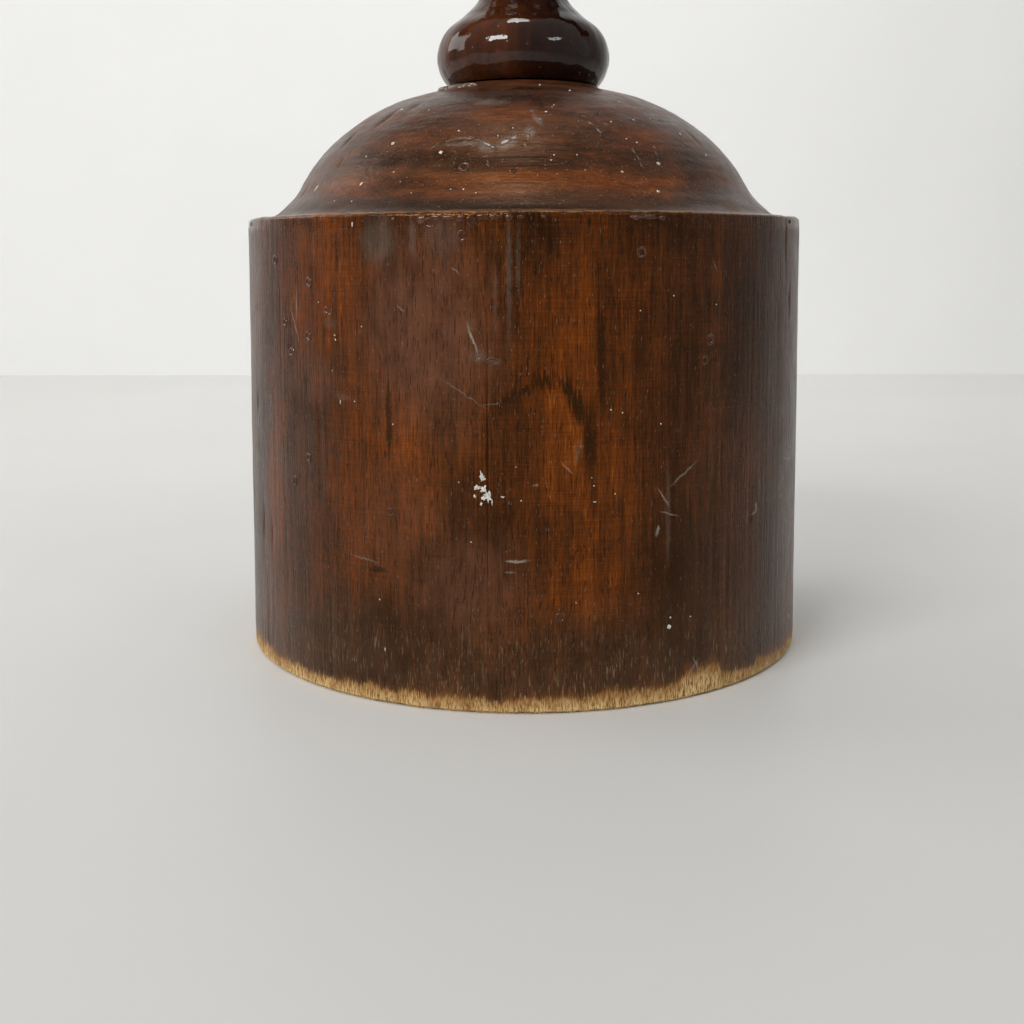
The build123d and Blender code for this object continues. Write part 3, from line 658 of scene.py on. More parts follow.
class Paper:
    """One material being written. Lengths are in millimetres and places are the frame's own."""

    def __init__(self, name):
        self.material = bpy.data.materials.new(name)
        self.material.use_nodes = True
        self.tree = self.material.node_tree
        self.shader = self.tree.nodes["Principled BSDF"]
        metres = self.node("ShaderNodeTexCoord").outputs["Object"]
        scaled = self.node("ShaderNodeVectorMath", operation="SCALE")
        self.join(metres, scaled.inputs[0])
        scaled.inputs["Scale"].default_value = 1 / MM
        self.place = scaled.outputs[0]
        parts = self.node("ShaderNodeSeparateXYZ")
        self.join(self.place, parts.inputs[0])
        self.x, self.y, self.z = (Num(self, parts.outputs[i]) for i in range(3))

    def node(self, kind, **settings):
        node = self.tree.nodes.new(kind)
        for name, value in settings.items():
            setattr(node, name, value)
        return node

    def join(self, value, socket):
        """Links a number or an output to a socket, or sets the socket to a plain value."""
        if isinstance(value, Num):
            value = value.socket
        if isinstance(value, bpy.types.NodeSocket):
            self.tree.links.new(value, socket)
        elif isinstance(value, tuple) and len(value) == 3 and socket.type == "RGBA":
            socket.default_value = (*value, 1)
        else:
            socket.default_value = value

    def vector(self, x, y, z=0):
        node = self.node("ShaderNodeCombineXYZ")
        for value, socket in zip((x, y, z), node.inputs):
            self.join(value, socket)
        return node.outputs[0]

    def noise(self, sizes, seed, detail=2.0, rough=0.5):
        """Noise round 0 whose features measure the given sizes along x, y and z."""
        spread = self.node("ShaderNodeVectorMath", operation="MULTIPLY_ADD")
        self.join(self.place, spread.inputs[0])
        spread.inputs[1].default_value = [1 / size for size in sizes]
        spread.inputs[2].default_value = (13.7 * seed, 7.3 * seed, 3.1 * seed)
        node = self.node("ShaderNodeTexNoise")
        self.join(spread.outputs[0], node.inputs["Vector"])
        node.inputs["Scale"].default_value = 1
        node.inputs["Detail"].default_value = detail
        node.inputs["Roughness"].default_value = rough
        return Num(self, node.outputs["Fac"]) - 0.5

    def skin(self, turn_radius):
        """Distance round the turning from the front, and height, as a flat place."""
        turn = self.x.math("ARCTAN2", -self.y)
        return self.vector(turn * turn_radius, self.z)

    def ragged(self, flat, reach, size, seed):
        """A flat place pushed about by noise, for marks without a clean outline."""
        push = self.vector(
            self.noise((size, size, size), seed, 3) * reach,
            self.noise((size, size, size), seed + 1, 3) * reach,
        )
        node = self.node("ShaderNodeVectorMath", operation="ADD")
        self.join(flat, node.inputs[0])
        self.join(push, node.inputs[1])
        return node.outputs[0]

    def reach(self, flat, centre, halves, lean=0):
        """1 on the edge of a leaning ellipse, 0 at its centre."""
        node = self.node("ShaderNodeMapping", vector_type="TEXTURE")
        self.join(flat, node.inputs["Vector"])
        node.inputs["Location"].default_value = (*centre, 0)
        node.inputs["Rotation"].default_value = (0, 0, math.radians(lean))
        node.inputs["Scale"].default_value = (*halves, 1)
        length = self.node("ShaderNodeVectorMath", operation="LENGTH")
        self.join(node.outputs[0], length.inputs[0])
        return Num(self, length.outputs["Value"])

    def marks(self, flat, rows, turn_radius, blur=0.5):
        """Soft ellipses, from rows like those of DRUM_ORANGE."""
        total = Num(self, self.node("ShaderNodeValue").outputs[0])
        for angle, height, wide, high, strength, *lean in rows:
            centre = (math.radians(angle) * turn_radius, height)
            ellipse = self.reach(flat, centre, (wide, high), *lean)
            total = total.most(ellipse.step(1 + blur, 1 - blur) * strength)
        return total

    def mix(self, share, first, second):
        node = self.node("ShaderNodeMix", data_type="RGBA")
        self.join(share, node.inputs["Factor"])
        self.join(first, node.inputs["A"])
        self.join(second, node.inputs["B"])
        return node.outputs["Result"]

    def ramp(self, value, stops):
        node = self.node("ShaderNodeValToRGB")
        self.join(value, node.inputs["Fac"])
        colours = node.color_ramp.elements
        while len(colours) < len(stops):
            colours.new(0.5)
        for element, (position, colour) in zip(colours, stops):
            element.position, element.color = position, (*colour, 1)
        return node.outputs["Color"]

    def darker(self, colour, amount):
        """A colour made darker by a number from 0 to 1."""
        return self.mix(amount, colour, NEARLY_BLACK)

    def relief(self, height):
        """Feeds a height in millimetres to the surface as bump."""
        node = self.node("ShaderNodeBump")
        node.inputs["Strength"].default_value = 1
        node.inputs["Distance"].default_value = MM
        self.join(height, node.inputs["Height"])
        self.join(node.outputs[0], self.shader.inputs["Normal"])
        self.join(node.outputs[0], self.shader.inputs["Coat Normal"])

    def surface(self, colour, roughness, coat=0.0, coat_roughness=0.2, specular=0.5, tint=(1, 1, 1)):
        self.join(colour, self.shader.inputs["Base Color"])
        self.join(roughness, self.shader.inputs["Roughness"])
        self.shader.inputs["Coat Weight"].default_value = coat
        self.shader.inputs["Coat Roughness"].default_value = coat_roughness
        self.shader.inputs["Specular IOR Level"].default_value = specular
        self.shader.inputs["Specular Tint"].default_value = (*tint, 1)
        return self.material


# ---- what the varnished wood wears ---------------------------------------------------------------
# Radii at which degrees become millimetres along the skin.
DRUM_TURN, DOME_TURN = 100.0, 76.0
# Each row is (degrees from the front, height, half width, half height, strength), with the lean in
# degrees at its end where the mark leans.
DRUM_ORANGE = [
    (-38, 131, 17, 24, 0.34), (-30, 84, 10, 30, 0.3), (-19, 76, 9, 22, 0.42, 8), (-56, 78, 7, 26, 0.32),
    (9, 98, 20, 50, 0.36), (5, 124, 11, 24, 0.24), (13, 41, 14, 13, 0.28), (20, 112, 6, 24, 0.4),
    (33, 128, 8, 20, 0.22),
]
DRUM_DARK = [
    (-47, 77, 8, 30, 0.42), (-24, 130, 5, 22, 0.2), (-30, 18, 30, 16, 0.42), (0, 14, 30, 10, 0.38),
    (25, 18, 30, 14, 0.5), (29, 42, 15, 17, 0.55), (-5, 60, 9, 12, 0.25), (34, 90, 6, 30, 0.35),
    (50, 76, 24, 90, 0.4), (-71, 70, 20, 90, 0.25), (5, 147, 3, 7, 0.75), (27, 148, 12, 7, 0.45),
    (-28, 146, 12, 6, 0.4), (6.5, 62, 8, 5, 0.35, -10),
]
# Painted reflection: a purple-brown haze where the glossy varnish mirrors the left window, painted into
# the colour.
DRUM_PAINTED_REFLECTION = [
    (-17, 118, 19, 27, 1), (-21, 60, 16, 18, 0.45), (-10, 42, 18, 14, 0.65), (-44, 104, 14, 7, 0.5),
    (-45, 72, 9, 18, 0.35), (35, 60, 10, 30, 0.2),
]
DRUM_FIGURE = [
    (-1.6, 99.5, 8.5, 1.3, 0.8, 30), (3.4, 105.5, 3.4, 2.6, 0.75, 20), (8.6, 99, 8, 2, 0.8, -62),
    (11.5, 86, 2.2, 11, 0.75), (13.4, 112, 1.3, 17, 0.75, 2), (12.2, 70, 1.2, 8, 0.5),
    (20.6, 118, 2.6, 12, 0.45), (-24.2, 92, 0.9, 12, 0.7), (-44, 102, 1.2, 3.5, 0.7),
    (9, 51.5, 4.6, 0.5, 0.7), (15.5, 40, 5, 0.5, 0.6), (-50.2, 44, 0.5, 4, 0.6, 30),
    (36, 63, 0.9, 9, 0.55), (31, 60, 0.5, 6, 0.7),
]
DRUM_GREY = [
    (-26, 146.3, 5.6, 6.5, 0.55), (-19.4, 146.5, 1.1, 5, 0.55), (-13.8, 147, 5, 5.5, 0.45),
    (-7.8, 112, 2.3, 1.6, 0.75, 15), (-5.3, 110.6, 2.4, 1, 0.7, -8), (-2.4, 134, 0.8, 16, 0.65),
    (-0.9, 139, 0.6, 10, 0.6), (-4.7, 128, 0.5, 9, 0.45), (26.3, 62.5, 0.8, 14, 0.55, 1),
    (9.4, 83, 0.6, 3.4, 0.6, -12), (-37, 121, 2.4, 1.8, 0.35, -20), (-9, 121.5, 1.4, 1.6, 0.35),
    (-34, 98, 2.8, 0.9, 0.45, -6),
]
DRUM_SCRATCH = [
    (-8.7, 117, 4.4, 0.36, 0.8, -71), (-1.2, 49.3, 2.9, 0.4, 1, 2), (-2.4, 45.8, 1.6, 0.3, 0.45, 3),
    (-29.5, 47, 4.4, 0.3, 0.35, -7), (29.5, 74.2, 5.4, 0.28, 0.6, 36),
    (25.4, 67.4, 3.2, 0.28, 0.7, -57), (26.6, 62, 3.2, 0.25, 0.6, -18),
    (24.2, 56.8, 0.5, 1.5, 0.9, -15), (48.6, 57.6, 1.5, 0.4, 0.8, 18), (49.2, 59.4, 0.35, 1.7, 0.9),
    (-47.2, 119.5, 6, 0.22, 0.6, -68), (-46.6, 126.5, 0.25, 5, 0.55),
    (-10.2, 100.5, 7.5, 0.2, 0.32, -33), (-5.6, 97.6, 3, 0.2, 0.32, 8), (7.5, 78, 2.2, 0.3, 0.5, -45),
    (-11.5, 137, 1.6, 0.2, 0.6, -40), (-21.7, 126, 1.6, 0.2, 0.6, -35), (2, 73, 0.9, 0.3, 0.6),
    (36.4, 138, 1.9, 0.22, 0.5, -60), (31.8, 9.5, 3.6, 0.3, 0.8, 50), (33.2, 10.2, 3.8, 0.3, 0.8, -60),
]
DRUM_DENTS = [
    (-26.7, 44, 3, 1, 0.9, -4), (-18.5, 42, 2.6, 0.7, 0.45), (-15, 50, 3.4, 0.6, 0.45),
    (58.4, 141, 0.35, 11, 0.9), (64, 126, 0.5, 7, 0.8), (66.5, 120, 0.6, 5, 0.8),
    (-63, 124, 0.4, 8, 0.8), (-65, 45, 0.6, 7, 0.8, -25), (-53, 36, 0.5, 4.5, 0.8, 25),
    (-61, 82, 0.5, 4, 0.7), (-68, 98, 0.7, 3, 0.8), (54, 88, 0.4, 9, 0.6),
]
DOME_ORANGE = [
    (-44, 163.4, 12, 3.2, 0.6), (4, 164, 34, 3, 0.5), (30, 162.2, 16, 2.6, 0.65),
    (-12, 160, 22, 1.4, 0.45), (-4, 186, 14, 3, 0.4), (33, 178.5, 12, 3, 0.35),
    (-27, 178.5, 12, 2.4, 0.3),
]
DOME_DARK = [
    (-5, 169.5, 30, 2.2, 0.55), (30, 169.5, 8, 5, 0.5), (-20, 158, 60, 1.6, 0.5),
    (44, 160.5, 12, 2.4, 0.6), (-40, 171.5, 14, 2.4, 0.4), (45, 171, 8, 6, 0.4), (0, 193, 26, 3, 0.3),
]
DOME_GREY = [
    (-14.4, 175.8, 7, 0.6, 0.45, 2), (-9, 174.6, 3, 1.6, 0.5, -25), (-4, 175.6, 3.2, 1.8, 0.5, 25),
    (1.6, 179.4, 1.6, 1.9, 0.45, 10), (3.8, 183.6, 2.2, 0.9, 0.45, -50), (-10.6, 190, 7, 1.2, 0.35),
]
DOME_DENTS = [
    (-58, 180, 2.6, 1.5, 0.7, 35), (-50, 185, 2.6, 1.4, 0.6, 30), (-66, 172, 1.4, 2.6, 0.8),
    (-71, 165, 1.5, 2, 0.8), (-62, 164, 1.2, 2.2, 0.6), (5.6, 188.6, 1.1, 1.3, 0.7),
    (45, 194, 1.6, 0.8, 0.6), (58, 170, 1, 2, 0.5),
]

VARNISH_RAMP = [
    (0.00, (0.0120, 0.0036, 0.0018)),
    (0.22, (0.0270, 0.0076, 0.0030)),
    (0.42, (0.0600, 0.0160, 0.0046)),
    (0.62, (0.1080, 0.0245, 0.0042)),
    (0.82, (0.1680, 0.0370, 0.0045)),
    (1.00, (0.2700, 0.0880, 0.0130)),
]
BARE_RAMP = [
    (0.0, (0.080, 0.036, 0.010)),
    (0.4, (0.280, 0.150, 0.048)),
    (0.7, (0.500, 0.310, 0.110)),
    (1.0, (0.800, 0.590, 0.290)),
]
NEARLY_BLACK = (0.004, 0.0025, 0.002)
PALE_DUST = (0.40, 0.37, 0.31)
PALE_TICK = (0.290, 0.190, 0.110)
GREY_FILM = (0.160, 0.130, 0.105)
GLUE_GREY = (0.26, 0.225, 0.185)
# Colour of the painted reflection of the left window on the drum.
PAINTED_REFLECTION_PURPLE = (0.150, 0.066, 0.043)
HANDLED_GREY = (0.098, 0.064, 0.042)
DOME_SMOKE = (0.098, 0.052, 0.033)
FOOT_GRIME = (0.14, 0.065, 0.022)
FOOT_STAIN = (0.250, 0.100, 0.026)
RUBBED_BROWN = (0.210, 0.085, 0.026)
RIM_WEAR = (0.300, 0.140, 0.050)
DOME_EDGE_WEAR = (0.22, 0.11, 0.045)
INNER_BROWN = (0.075, 0.032, 0.014)
RUST = (0.085, 0.030, 0.012)
AMBER = (0.78, 0.38, 0.13)
PLANK_TONES = (0.02, 0.01, 0.00, 0.02, -0.02, 0.00)
PLANK_SEEDS = (0, 0, 0, 10, 10, 10)


def reaching(rows, plank, margin=4):
    """The marks that reach a plank."""
    left, right = ([-TOP_RADIUS - 9, *SEAMS, TOP_RADIUS + 9][plank + side] for side in (0, 1))
    found = []
    for row in rows:
        angle, _, wide, high, _, *lean = row
        x = TOP_RADIUS * math.sin(math.radians(angle))
        room = margin + (max(wide, high) if lean else wide)
        if left - room < x < right + room:
            found.append(row)
    return found


def drum_wood(plank):
    """Old shellac over upright plank grain, worn bare along the foot and the rim, with a painted
    reflection of the left window as a purple haze on the front left.
    """
    paper = Paper(f"drum_wood_{plank + 1}")
    seed = PLANK_SEEDS[plank]

    def marks(place, rows, blur, margin=4):
        return paper.marks(place, reaching(rows, plank, margin), DRUM_TURN, blur)

    flat = paper.skin(DRUM_TURN)
    cloudy = paper.ragged(flat, 14, 15, 90)
    fuzzy = paper.ragged(flat, 1.6, 1.7, 94)
    fibre = paper.noise((0.55, 0.55, 15), seed + 3, 2)
    serrated = paper.node("ShaderNodeVectorMath", operation="ADD")
    paper.join(fuzzy, serrated.inputs[0])
    paper.join(paper.vector(0, fibre * 16), serrated.inputs[1])
    grain_edge = serrated.outputs[0]

    tone = paper.noise((24, 24, 70), seed + 1, 2)
    streak = paper.noise((2.2, 2.2, 85), seed + 2, 4, 0.65)
    blotch = paper.noise((6, 6, 11), 98, 3, 0.6)
    hatch = paper.noise((16, 16, 0.42), 99, 3, 0.6)
    thread = paper.noise((0.40, 0.40, 3.4), seed + 7, 1)
    pores = paper.noise((0.42, 0.42, 5.0), seed + 4, 1).step(0.10, 0.20)
    dust = paper.noise((0.30, 0.30, 1.6), seed + 5, 1).step(0.19, 0.28)
    radius = (paper.x * paper.x + paper.y * paper.y).math("SQRT")
    outside = radius.step(90, 95)

    warmth = 0.36 + PLANK_TONES[plank] + tone * 0.8 + streak * 0.8 + fibre * 0.6 + blotch * 0.45
    warmth = warmth + marks(cloudy, DRUM_ORANGE, 0.6, 9) * 0.62
    warmth = warmth - marks(cloudy, DRUM_DARK, 0.6, 9) * 0.34
    warmth = warmth + hatch * 0.50 + thread * 0.48
    colour = paper.ramp(warmth, VARNISH_RAMP)
    # Painted reflection of the left window, mixed into the colour as a purple haze.
    painted_reflection = marks(cloudy, DRUM_PAINTED_REFLECTION, 0.7, 9) * (0.62 + blotch + streak * 0.6)
    colour = paper.mix(painted_reflection.held() * 0.8, colour, PAINTED_REFLECTION_PURPLE)
    handled = (paper.z.step(46, 4) * (0.55 + blotch + tone)).held()
    colour = paper.mix(handled * 0.5, colour, HANDLED_GREY)
    figure = marks(grain_edge, DRUM_FIGURE, 0.4) * (1.2 + streak + blotch * 1.4)
    dents = marks(fuzzy, DRUM_DENTS, 0.5)
    colour = paper.darker(colour, (figure.held() * 0.9).most(dents * 0.8).most(pores * 0.7))

    grey = marks(fuzzy, DRUM_GREY, 0.5) * (0.75 + blotch + streak)
    colour = paper.mix(grey.held() * 0.62, colour, GREY_FILM)
    scratch = marks(fuzzy, DRUM_SCRATCH, 0.45) * (0.85 + fibre * 1.5)
    low_ticks = paper.noise((0.42, 0.42, 4.5), seed + 6, 1).step(0.12, 0.20) * paper.z.step(42, 2)
    low_ticks = low_ticks * (0.55 + blotch * 2.2 + tone).held()
    colour = paper.mix(low_ticks * 0.85, colour, PALE_TICK)
    colour = paper.mix((scratch * 0.65).held().most(dust * 0.30), colour, PALE_DUST)

    seam = seam_line(paper, plank)
    colour = paper.darker(colour, seam)

    colour, bare = worn_edges(paper, colour, radius, fibre, streak, blotch)
    inner = paper.ramp(0.30 + streak * 0.8 + fibre * 0.5, BARE_RAMP)
    inner = paper.mix(0.45, inner, INNER_BROWN)
    colour = paper.mix(outside, inner, colour)

    height = fibre * 0.10 + streak * 0.25 - pores * 0.07 + hatch * 0.05
    height = height + paper.noise((1.6, 1.6, 2.4), 74, 2) * 0.07
    paper.relief(height)
    film = bare.most(1 - outside)
    wet_rim = (paper.z + blotch * 5).step(149.5, 152) * 0.20
    rough = 0.31 + blotch * 0.25 + streak * 0.15 - (grey.held() * 0.12).most(wet_rim) + film * 0.35
    return paper.surface(colour, rough, 0.0, 0.22, 0.5, AMBER)


def worn_edges(paper, colour, radius, fibre, streak, blotch):
    """Bare wood along the foot, rubbed stain above it and a worn line round the rim."""
    turn = paper.x.math("ARCTAN2", -paper.y) * DRUM_TURN
    frayed = paper.noise((11, 11, 60), 70, 3, 0.6) * 7 + paper.noise((0.5, 0.5, 5), 71, 3, 0.7) * 5
    frayed = frayed + ((turn - 60) / 11).size().step(1.0, 0.5) * 3.5
    bare = (paper.z - frayed + fibre * 5).step(6.0, 4.0)
    rubbed = (paper.z - frayed * 1.3).step(8.0, 4.6) * (0.55 + blotch * 1.4 + fibre * 1.2)
    rim_noise = paper.noise((5, 5, 5), 72, 3) * 1.6
    worn_rim = (paper.z + rim_noise).step(153.8, 154.4) * 0.85
    worn_rim = worn_rim * paper.noise((2.5, 2.5, 20), 73, 3).step(-0.16, 0.04) * radius.step(95.5, 98.6)
    speckle = paper.noise((0.5, 0.5, 2.2), 75, 3, 0.7)
    bare_colour = paper.ramp(0.80 + speckle * 3.6 + fibre * 1.0 + streak * 0.6, BARE_RAMP)
    grubby = paper.mix((blotch * 1.6 + 0.15).held() * 0.5, bare_colour, FOOT_GRIME)
    stained = (paper.z - frayed + speckle * 4).step(-0.5, 5.0) * (0.75 + blotch * 1.5)
    grubby = paper.mix(stained.held() * 0.80, grubby, FOOT_STAIN)
    colour = paper.mix(rubbed.held() * 0.6, colour, RUBBED_BROWN)
    colour = paper.mix(bare, colour, grubby)
    colour = paper.mix(worn_rim, colour, RIM_WEAR)
    return colour, bare


def seam_line(paper, plank):
    """The dark glue lines on either side of a plank, open where the wood has shrunk."""
    edges = [-200, *SEAMS, 200]
    total = None
    for edge in (edges[plank], edges[plank + 1]):
        if abs(edge) > 150:
            continue
        wander = paper.noise((4, 4, 9), int(edge) + 300, 2)
        thin = (paper.x - edge).size() / (wander + 0.62)
        line = thin.step(0.55, 0.1) * (wander * 2 + 0.25).held() * 0.5
        if is_open(edge):
            ends = paper.z.step(OPEN_LOW - 2, OPEN_LOW + 6) * paper.z.step(OPEN_HIGH, OPEN_HIGH - 20)
            line = line.most(thin.step(1.0, 0.2) * ends * 0.7)
        total = line if total is None else total.most(line)
    return total


def dome_wood():
    """One thick board turned across its grain, so that the grain runs level from side to side."""
    paper = Paper("dome_wood")
    flat = paper.skin(DOME_TURN)
    cloudy = paper.ragged(flat, 6, 14, 40)
    fuzzy = paper.ragged(flat, 1.5, 1.6, 43)
    tone = paper.noise((60, 16, 5), 31, 2)
    streak = paper.noise((55, 2.6, 1.2), 32, 4, 0.62)
    fibre = paper.noise((18, 0.6, 0.35), 33, 2)
    blotch = paper.noise((8, 8, 5), 34, 3, 0.6)
    pores = paper.noise((4.5, 0.4, 0.3), 35, 1).step(0.14, 0.24)
    dust = paper.noise((0.6, 0.6, 0.5), 36, 1).step(0.18, 0.26)
    thread = paper.noise((4.0, 0.45, 0.40), 39, 1)
    warmth = 0.38 + tone * 0.8 + streak * 0.95 + fibre * 0.6 + blotch * 0.50 + thread * 0.55
    warmth = warmth + paper.marks(cloudy, DOME_ORANGE, DOME_TURN, 0.6) * 0.55
    warmth = warmth - paper.marks(cloudy, DOME_DARK, DOME_TURN, 0.6) * 0.42
    colour = paper.ramp(warmth, VARNISH_RAMP)
    smoky = (0.32 + tone * 1.2 + blotch * 0.8).held()
    colour = paper.mix(smoky * 0.45, colour, DOME_SMOKE)
    foot = paper.z.step(159.5, 156.0) * 0.55
    dents = paper.marks(fuzzy, DOME_DENTS, DOME_TURN, 0.5)
    colour = paper.darker(colour, foot.most(dents * 0.8).most(pores * 0.5))
    grey = paper.marks(fuzzy, DOME_GREY, DOME_TURN, 0.5)
    colour = paper.mix((grey * (0.9 + blotch)).held() * 0.75, colour, GLUE_GREY)
    edge_wear = (paper.z + paper.noise((6, 6, 3), 37, 2) * 1.2).step(155.4, 154.7) * 0.6
    colour = paper.mix(edge_wear, colour, DOME_EDGE_WEAR)
    colour = paper.mix(dust * 0.45, colour, PALE_DUST)
    height = fibre * 0.07 + streak * 0.14 - pores * 0.06
    height = height + paper.noise((2.4, 2.4, 1.8), 38, 3) * 0.12
    paper.relief(height)
    rough = 0.34 + blotch * 0.35 + tone * 0.2 - grey * 0.15
    return paper.surface(colour, rough, 0.0, 0.24, 0.5, AMBER)


def grain(axis, across, along):
    """Sizes of a noise that is drawn out along one axis, as grain is."""
    return tuple(along if letter == axis else across for letter in "XYZ")


def handle_wood(name, axis, seed):
    """Thick glossy shellac, nearly black; upright pieces get painted light, redder and lighter on the
    left, darker on the right.
    """
    paper = Paper(name)
    tone = paper.noise(grain(axis, 16, 30), seed, 2)
    streak = paper.noise(grain(axis, 3, 60), seed + 1, 4, 0.6)
    fibre = paper.noise(grain(axis, 0.6, 15), seed + 2, 2)
    blotch = paper.noise((5, 5, 5), seed + 3, 3, 0.6)
    warmth = 0.19 + tone * 0.6 + streak * 0.45 + fibre * 0.15 + blotch * 0.3
    # Painted light: warmer and lighter towards -X, where the light falls from the left, and a little
    # darker towards +X.
    if axis == "Z":
        painted_light_left = (paper.x * -0.012).math("MAXIMUM", -0.12)
        warmth = warmth + painted_light_left
    colour = paper.ramp(warmth, VARNISH_RAMP)
    knocks = paper.noise((2.2, 2.2, 2.2), seed + 4, 1).step(0.24, 0.30)
    colour = paper.mix(knocks * 0.25, colour, GREY_FILM)
    height = streak * 0.04 + paper.noise((4, 4, 3), seed + 5, 2) * 0.12 - knocks * 0.06
    height = height + paper.noise((0.9, 0.9, 0.9), seed + 6, 1) * 0.02
    paper.relief(height)
    rough = 0.24 + blotch * 0.2 + knocks * 0.2
    return paper.surface(colour, rough, 0.75, 0.05, 0.0, AMBER)


def plain_wood(name, axis, ramp, seed, gloss=0.55, ring=(0, 0, 0)):
    """Unvarnished or oiled wood. ring is a point on the pith, for rings on end grain."""
    paper = Paper(name)
    tone = paper.noise(grain(axis, 14, 60), seed, 2)
    streak = paper.noise(grain(axis, 1.8, 50), seed + 1, 4, 0.6)
    fibre = paper.noise(grain(axis, 0.4, 12), seed + 2, 2)
    pores = paper.noise(grain(axis, 0.35, 4), seed + 3, 1).step(0.13, 0.24)
    middle = {"X": (paper.y - ring[1], paper.z - ring[2]), "Y": (paper.x - ring[0], paper.z - ring[2])}
    a, b = middle.get(axis, (paper.x - ring[0], paper.y - ring[1]))
    distance = (a * a + b * b).math("SQRT") + tone * 9
    rings = (distance * 2.1).math("SINE").step(-0.4, 1.0) * 0.22
    colour = paper.ramp(0.50 + tone * 0.5 + streak * 0.5 + fibre * 0.35 - rings, ramp)
    grime = paper.noise((9, 9, 9), seed + 5, 3, 0.6)
    colour = paper.darker(colour, (pores * 0.45).most((grime * 1.5).held() * 0.5))
    paper.relief(fibre * 0.07 + streak * 0.08 - pores * 0.06 + grime * 0.08)
    return paper.surface(colour, gloss + grime * 0.3 + streak * 0.1, 0.0, 0.2, 0.4)


def metal(name, rgb, seed, rough, rust):
    """Old iron or steel: dull where it is rusted, polished where it is touched."""
    paper = Paper(name)
    cloud = paper.noise((6, 6, 6), seed, 4, 0.6)
    grit = paper.noise((0.5, 0.5, 0.5), seed + 1, 3, 0.6)
    brush = paper.noise((0.25, 6, 6), seed + 2, 2)
    spots = (cloud + grit * 0.6).step(0.10, 0.22) * rust
    shade = paper.mix((cloud + 0.5).held(), tuple(0.6 * c for c in rgb), tuple(1.25 * c for c in rgb))
    colour = paper.mix(spots, shade, RUST)
    paper.relief(grit * 0.05 + cloud * 0.10 + brush * 0.02 + spots * 0.05)
    paper.surface(colour, rough + cloud * 0.3 + brush * 0.1 + spots * 0.3)
    paper.join(1 - spots, paper.shader.inputs["Metallic"])
    return paper.material


def old_paint():
    """Splashed white wall paint, yellowed and grubby."""
    paper = Paper("old_white_paint")
    dirt = paper.noise((0.8, 0.8, 0.8), 380, 3, 0.6)
    colour = paper.mix((dirt * 3.0 + 0.40).held(), (0.78, 0.77, 0.71), (0.34, 0.33, 0.27))
    paper.relief(dirt * 0.08)
    return paper.surface(colour, 0.55 + dirt * 0.2)


def thick_varnish(name, film, seed):
    """Beads and skins of shellac or glue over the brown below. film is how pale they are."""
    paper = Paper(name)
    cloud = paper.noise((3, 3, 3), seed, 3, 0.6)
    colour = paper.ramp(0.38 + cloud * 0.9, VARNISH_RAMP)
    colour = paper.mix((cloud * 1.2 + film).held(), colour, GREY_FILM)
    paper.relief(cloud * 0.12)
    return paper.surface(colour, 0.28 + cloud * 0.2, 0.7, 0.08, 0.3, AMBER)


HONEY_RAMP = [
    (0.0, (0.070, 0.030, 0.010)),
    (0.4, (0.200, 0.100, 0.036)),
    (0.7, (0.330, 0.190, 0.080)),
    (1.0, (0.470, 0.310, 0.160)),
]
PALE_RAMP = [
    (0.0, (0.130, 0.070, 0.030)),
    (0.4, (0.360, 0.230, 0.110)),
    (0.7, (0.520, 0.370, 0.200)),
    (1.0, (0.660, 0.520, 0.330)),
]


def dress(piece, material):
    piece.data.materials.clear()
    piece.data.materials.append(material)


def dress_everything():
    for number, plank in enumerate(planks):
        dress(plank, drum_wood(number))
    dress(dome, dome_wood())
    white = old_paint()
    amber, glue = thick_varnish("thick_varnish", 0.0, 390), thick_varnish("clear_glue", 0.48, 392)
    for piece in paint_marks:
        dress(piece, white)
    for piece in varnish_marks:
        dress(piece, glue if piece.name in ("dome_glue_smears", "dome_varnish_lip") else amber)
    dress(stem, handle_wood("handle_wood", "Z", 200))
    bar_wood = handle_wood("bar_wood", "X", 220)
    iron = metal("black_iron", (0.11, 0.105, 0.10), 300, 0.42, 0.8)
    steel = metal("screw_steel", (0.42, 0.40, 0.37), 310, 0.34, 0.5)
    dowel = plain_wood("dowel_wood", "Z", PALE_RAMP, 320)
    finishes = {
        "base_plate": plain_wood("base_plate_wood", "X", HONEY_RAMP, 330, ring=(0, 0, -90)),
        "anvil_block": plain_wood("anvil_wood", "Z", HONEY_RAMP, 340, ring=(14, -9, 0)),
        "press_foot": plain_wood("press_foot_wood", "Z", HONEY_RAMP, 350, ring=(-40, 8, 0)),
        "thread_block": plain_wood("thread_block_wood", "Z", PALE_RAMP, 360, 0.5, ring=(60, 20, 0)),
        "spindle": plain_wood("spindle_wood", "Z", PALE_RAMP, 370, 0.42, ring=(3, 2, 0)),
        "dome_dowels": dowel,
        "handle_pin": dowel,
        "bar_pin": dowel,
        "anvil_plate": iron,
        "press_plate": iron,
        "foot_washer": steel,
        "foot_screw": steel,
        "cross_bar": bar_wood,
        "bar_knob_left": bar_wood,
        "bar_knob_right": bar_wood,
        "top_button": handle_wood("button_wood", "Z", 240),
    }
    for name, node in nodes.items():
        dress(node, finishes.get(name, steel))


# ---- stage, light and camera, in metres ----------------------------------------------------------
WALL_Y = 1.07


def stage_paint(name, rgb, roughness):
    """Matt paint with a faint unevenness."""
    paper = Paper(name)
    cloud = paper.noise((160, 160, 160), 400, 3)
    grit = paper.noise((3, 3, 3), 401, 2)
    light = tuple(min(1, 1.03 * c) for c in rgb)
    colour = paper.mix((cloud + 0.5).held(), tuple(0.97 * c for c in rgb), light)
    paper.relief(grit * 0.03)
    return paper.surface(colour, roughness, specular=0.3)


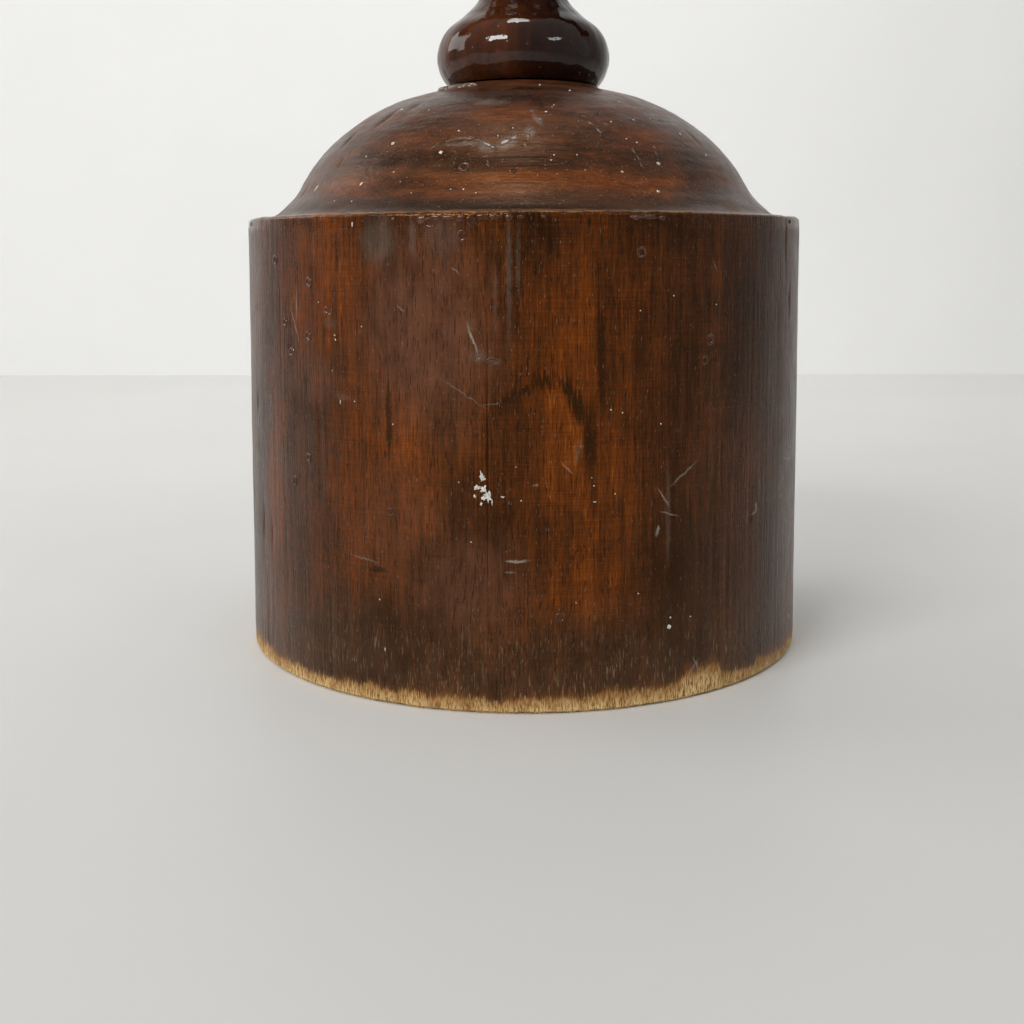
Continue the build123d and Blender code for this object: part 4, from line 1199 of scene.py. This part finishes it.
def make_stage():
    foot = [(6, WALL_Y, 0), (-6, WALL_Y, 0)]
    floor = new_object("floor", np.array([(-6, -6, 0), (6, -6, 0), *foot]), [[0, 1, 2, 3]])
    wall = new_object("wall", np.array([*foot[::-1], (6, WALL_Y, 4), (-6, WALL_Y, 4)]), [[0, 1, 2, 3]])
    dress(floor, stage_paint("floor_paint", (0.69, 0.685, 0.665), 0.5))
    dress(wall, stage_paint("wall_paint", (0.86, 0.86, 0.85), 0.8))


def area_light(name, shape, size, power, place, facing):
    """A light at a place in metres. facing is the way it shines."""
    data = bpy.data.lights.new(name, "AREA")
    data.shape, data.size, data.size_y, data.energy = shape, *size, power
    lamp = bpy.data.objects.new(name, data)
    lamp.location = place
    lamp.rotation_euler = facing.to_track_quat("-Z", "Y").to_euler()
    bpy.context.scene.collection.objects.link(lamp)
    return data


def window_light(name, bearing, elevation, distance, size, power):
    """A soft rectangle of light facing the object. Bearing 0 is in front, 90 is towards +X."""
    turn, lift = math.radians(bearing), math.radians(elevation)
    level = distance * math.cos(lift)
    away = Vector((level * math.sin(turn), -level * math.cos(turn), distance * math.sin(lift)))
    area_light(name, "RECTANGLE", size, power, Vector((0, 0, 0.15)) + away, -away)


def wall_wash():
    """Light from overhead that falls mostly on the wall behind the object."""
    place, aim = Vector((-0.1, -0.1, 2.3)), Vector((0.15, WALL_Y, 0.3))
    light = area_light("wall_wash", "DISK", (0.6, 0.6), 4.0, place, aim - place)
    light.spread = math.radians(75)


def make_world():
    """A soft room, a little brighter above, behind and to the right."""
    world = bpy.data.worlds.new("soft_room")
    bpy.context.scene.world = world
    world.use_nodes = True
    tree = world.node_tree
    direction = tree.nodes.new("ShaderNodeTexCoord").outputs["Generated"]
    lean = tree.nodes.new("ShaderNodeVectorMath")
    lean.operation = "DOT_PRODUCT"
    tree.links.new(direction, lean.inputs[0])
    lean.inputs[1].default_value = (0.06, 0.12, 0.05)
    level = tree.nodes.new("ShaderNodeMath")
    level.operation = "ADD"
    level.inputs[1].default_value = 0.38
    tree.links.new(lean.outputs["Value"], level.inputs[0])
    background = tree.nodes["Background"]
    background.inputs["Color"].default_value = (1.0, 0.99, 0.97, 1)
    tree.links.new(level.outputs[0], background.inputs["Strength"])


def make_light():
    make_world()
    window_light("left_window", -36, 31, 2.0, (0.95, 0.36), 20.5)
    window_light("right_window", 43, 30, 2.0, (0.40, 0.26), 2.4)
    window_light("side_window", -105, 25, 1.8, (0.9, 0.9), 7.0)
    wall_wash()
    bpy.context.scene.view_settings.view_transform = "Standard"


def make_camera():
    data = bpy.data.cameras.new("camera")
    data.sensor_width, data.lens = 36, 44.05
    camera = bpy.data.objects.new("camera", data)
    pitch, yaw, roll = (math.radians(degrees) for degrees in (11.45, 0.54, -0.15))
    distance, height = 0.4771, 0.1407
    turn = Matrix.Rotation(yaw, 4, "Z") @ Matrix.Rotation(math.pi / 2 - pitch, 4, "X")
    place = Matrix.Translation((0, -distance, height))
    camera.matrix_world = place @ turn @ Matrix.Rotation(roll, 4, "Z")
    bpy.context.scene.collection.objects.link(camera)
    bpy.context.scene.camera = camera


planks = make_planks()
dome = make_dome()
stem = make_stem()
paint_marks, varnish_marks = make_marks()
dress_everything()
make_stage()
make_light()
make_camera()
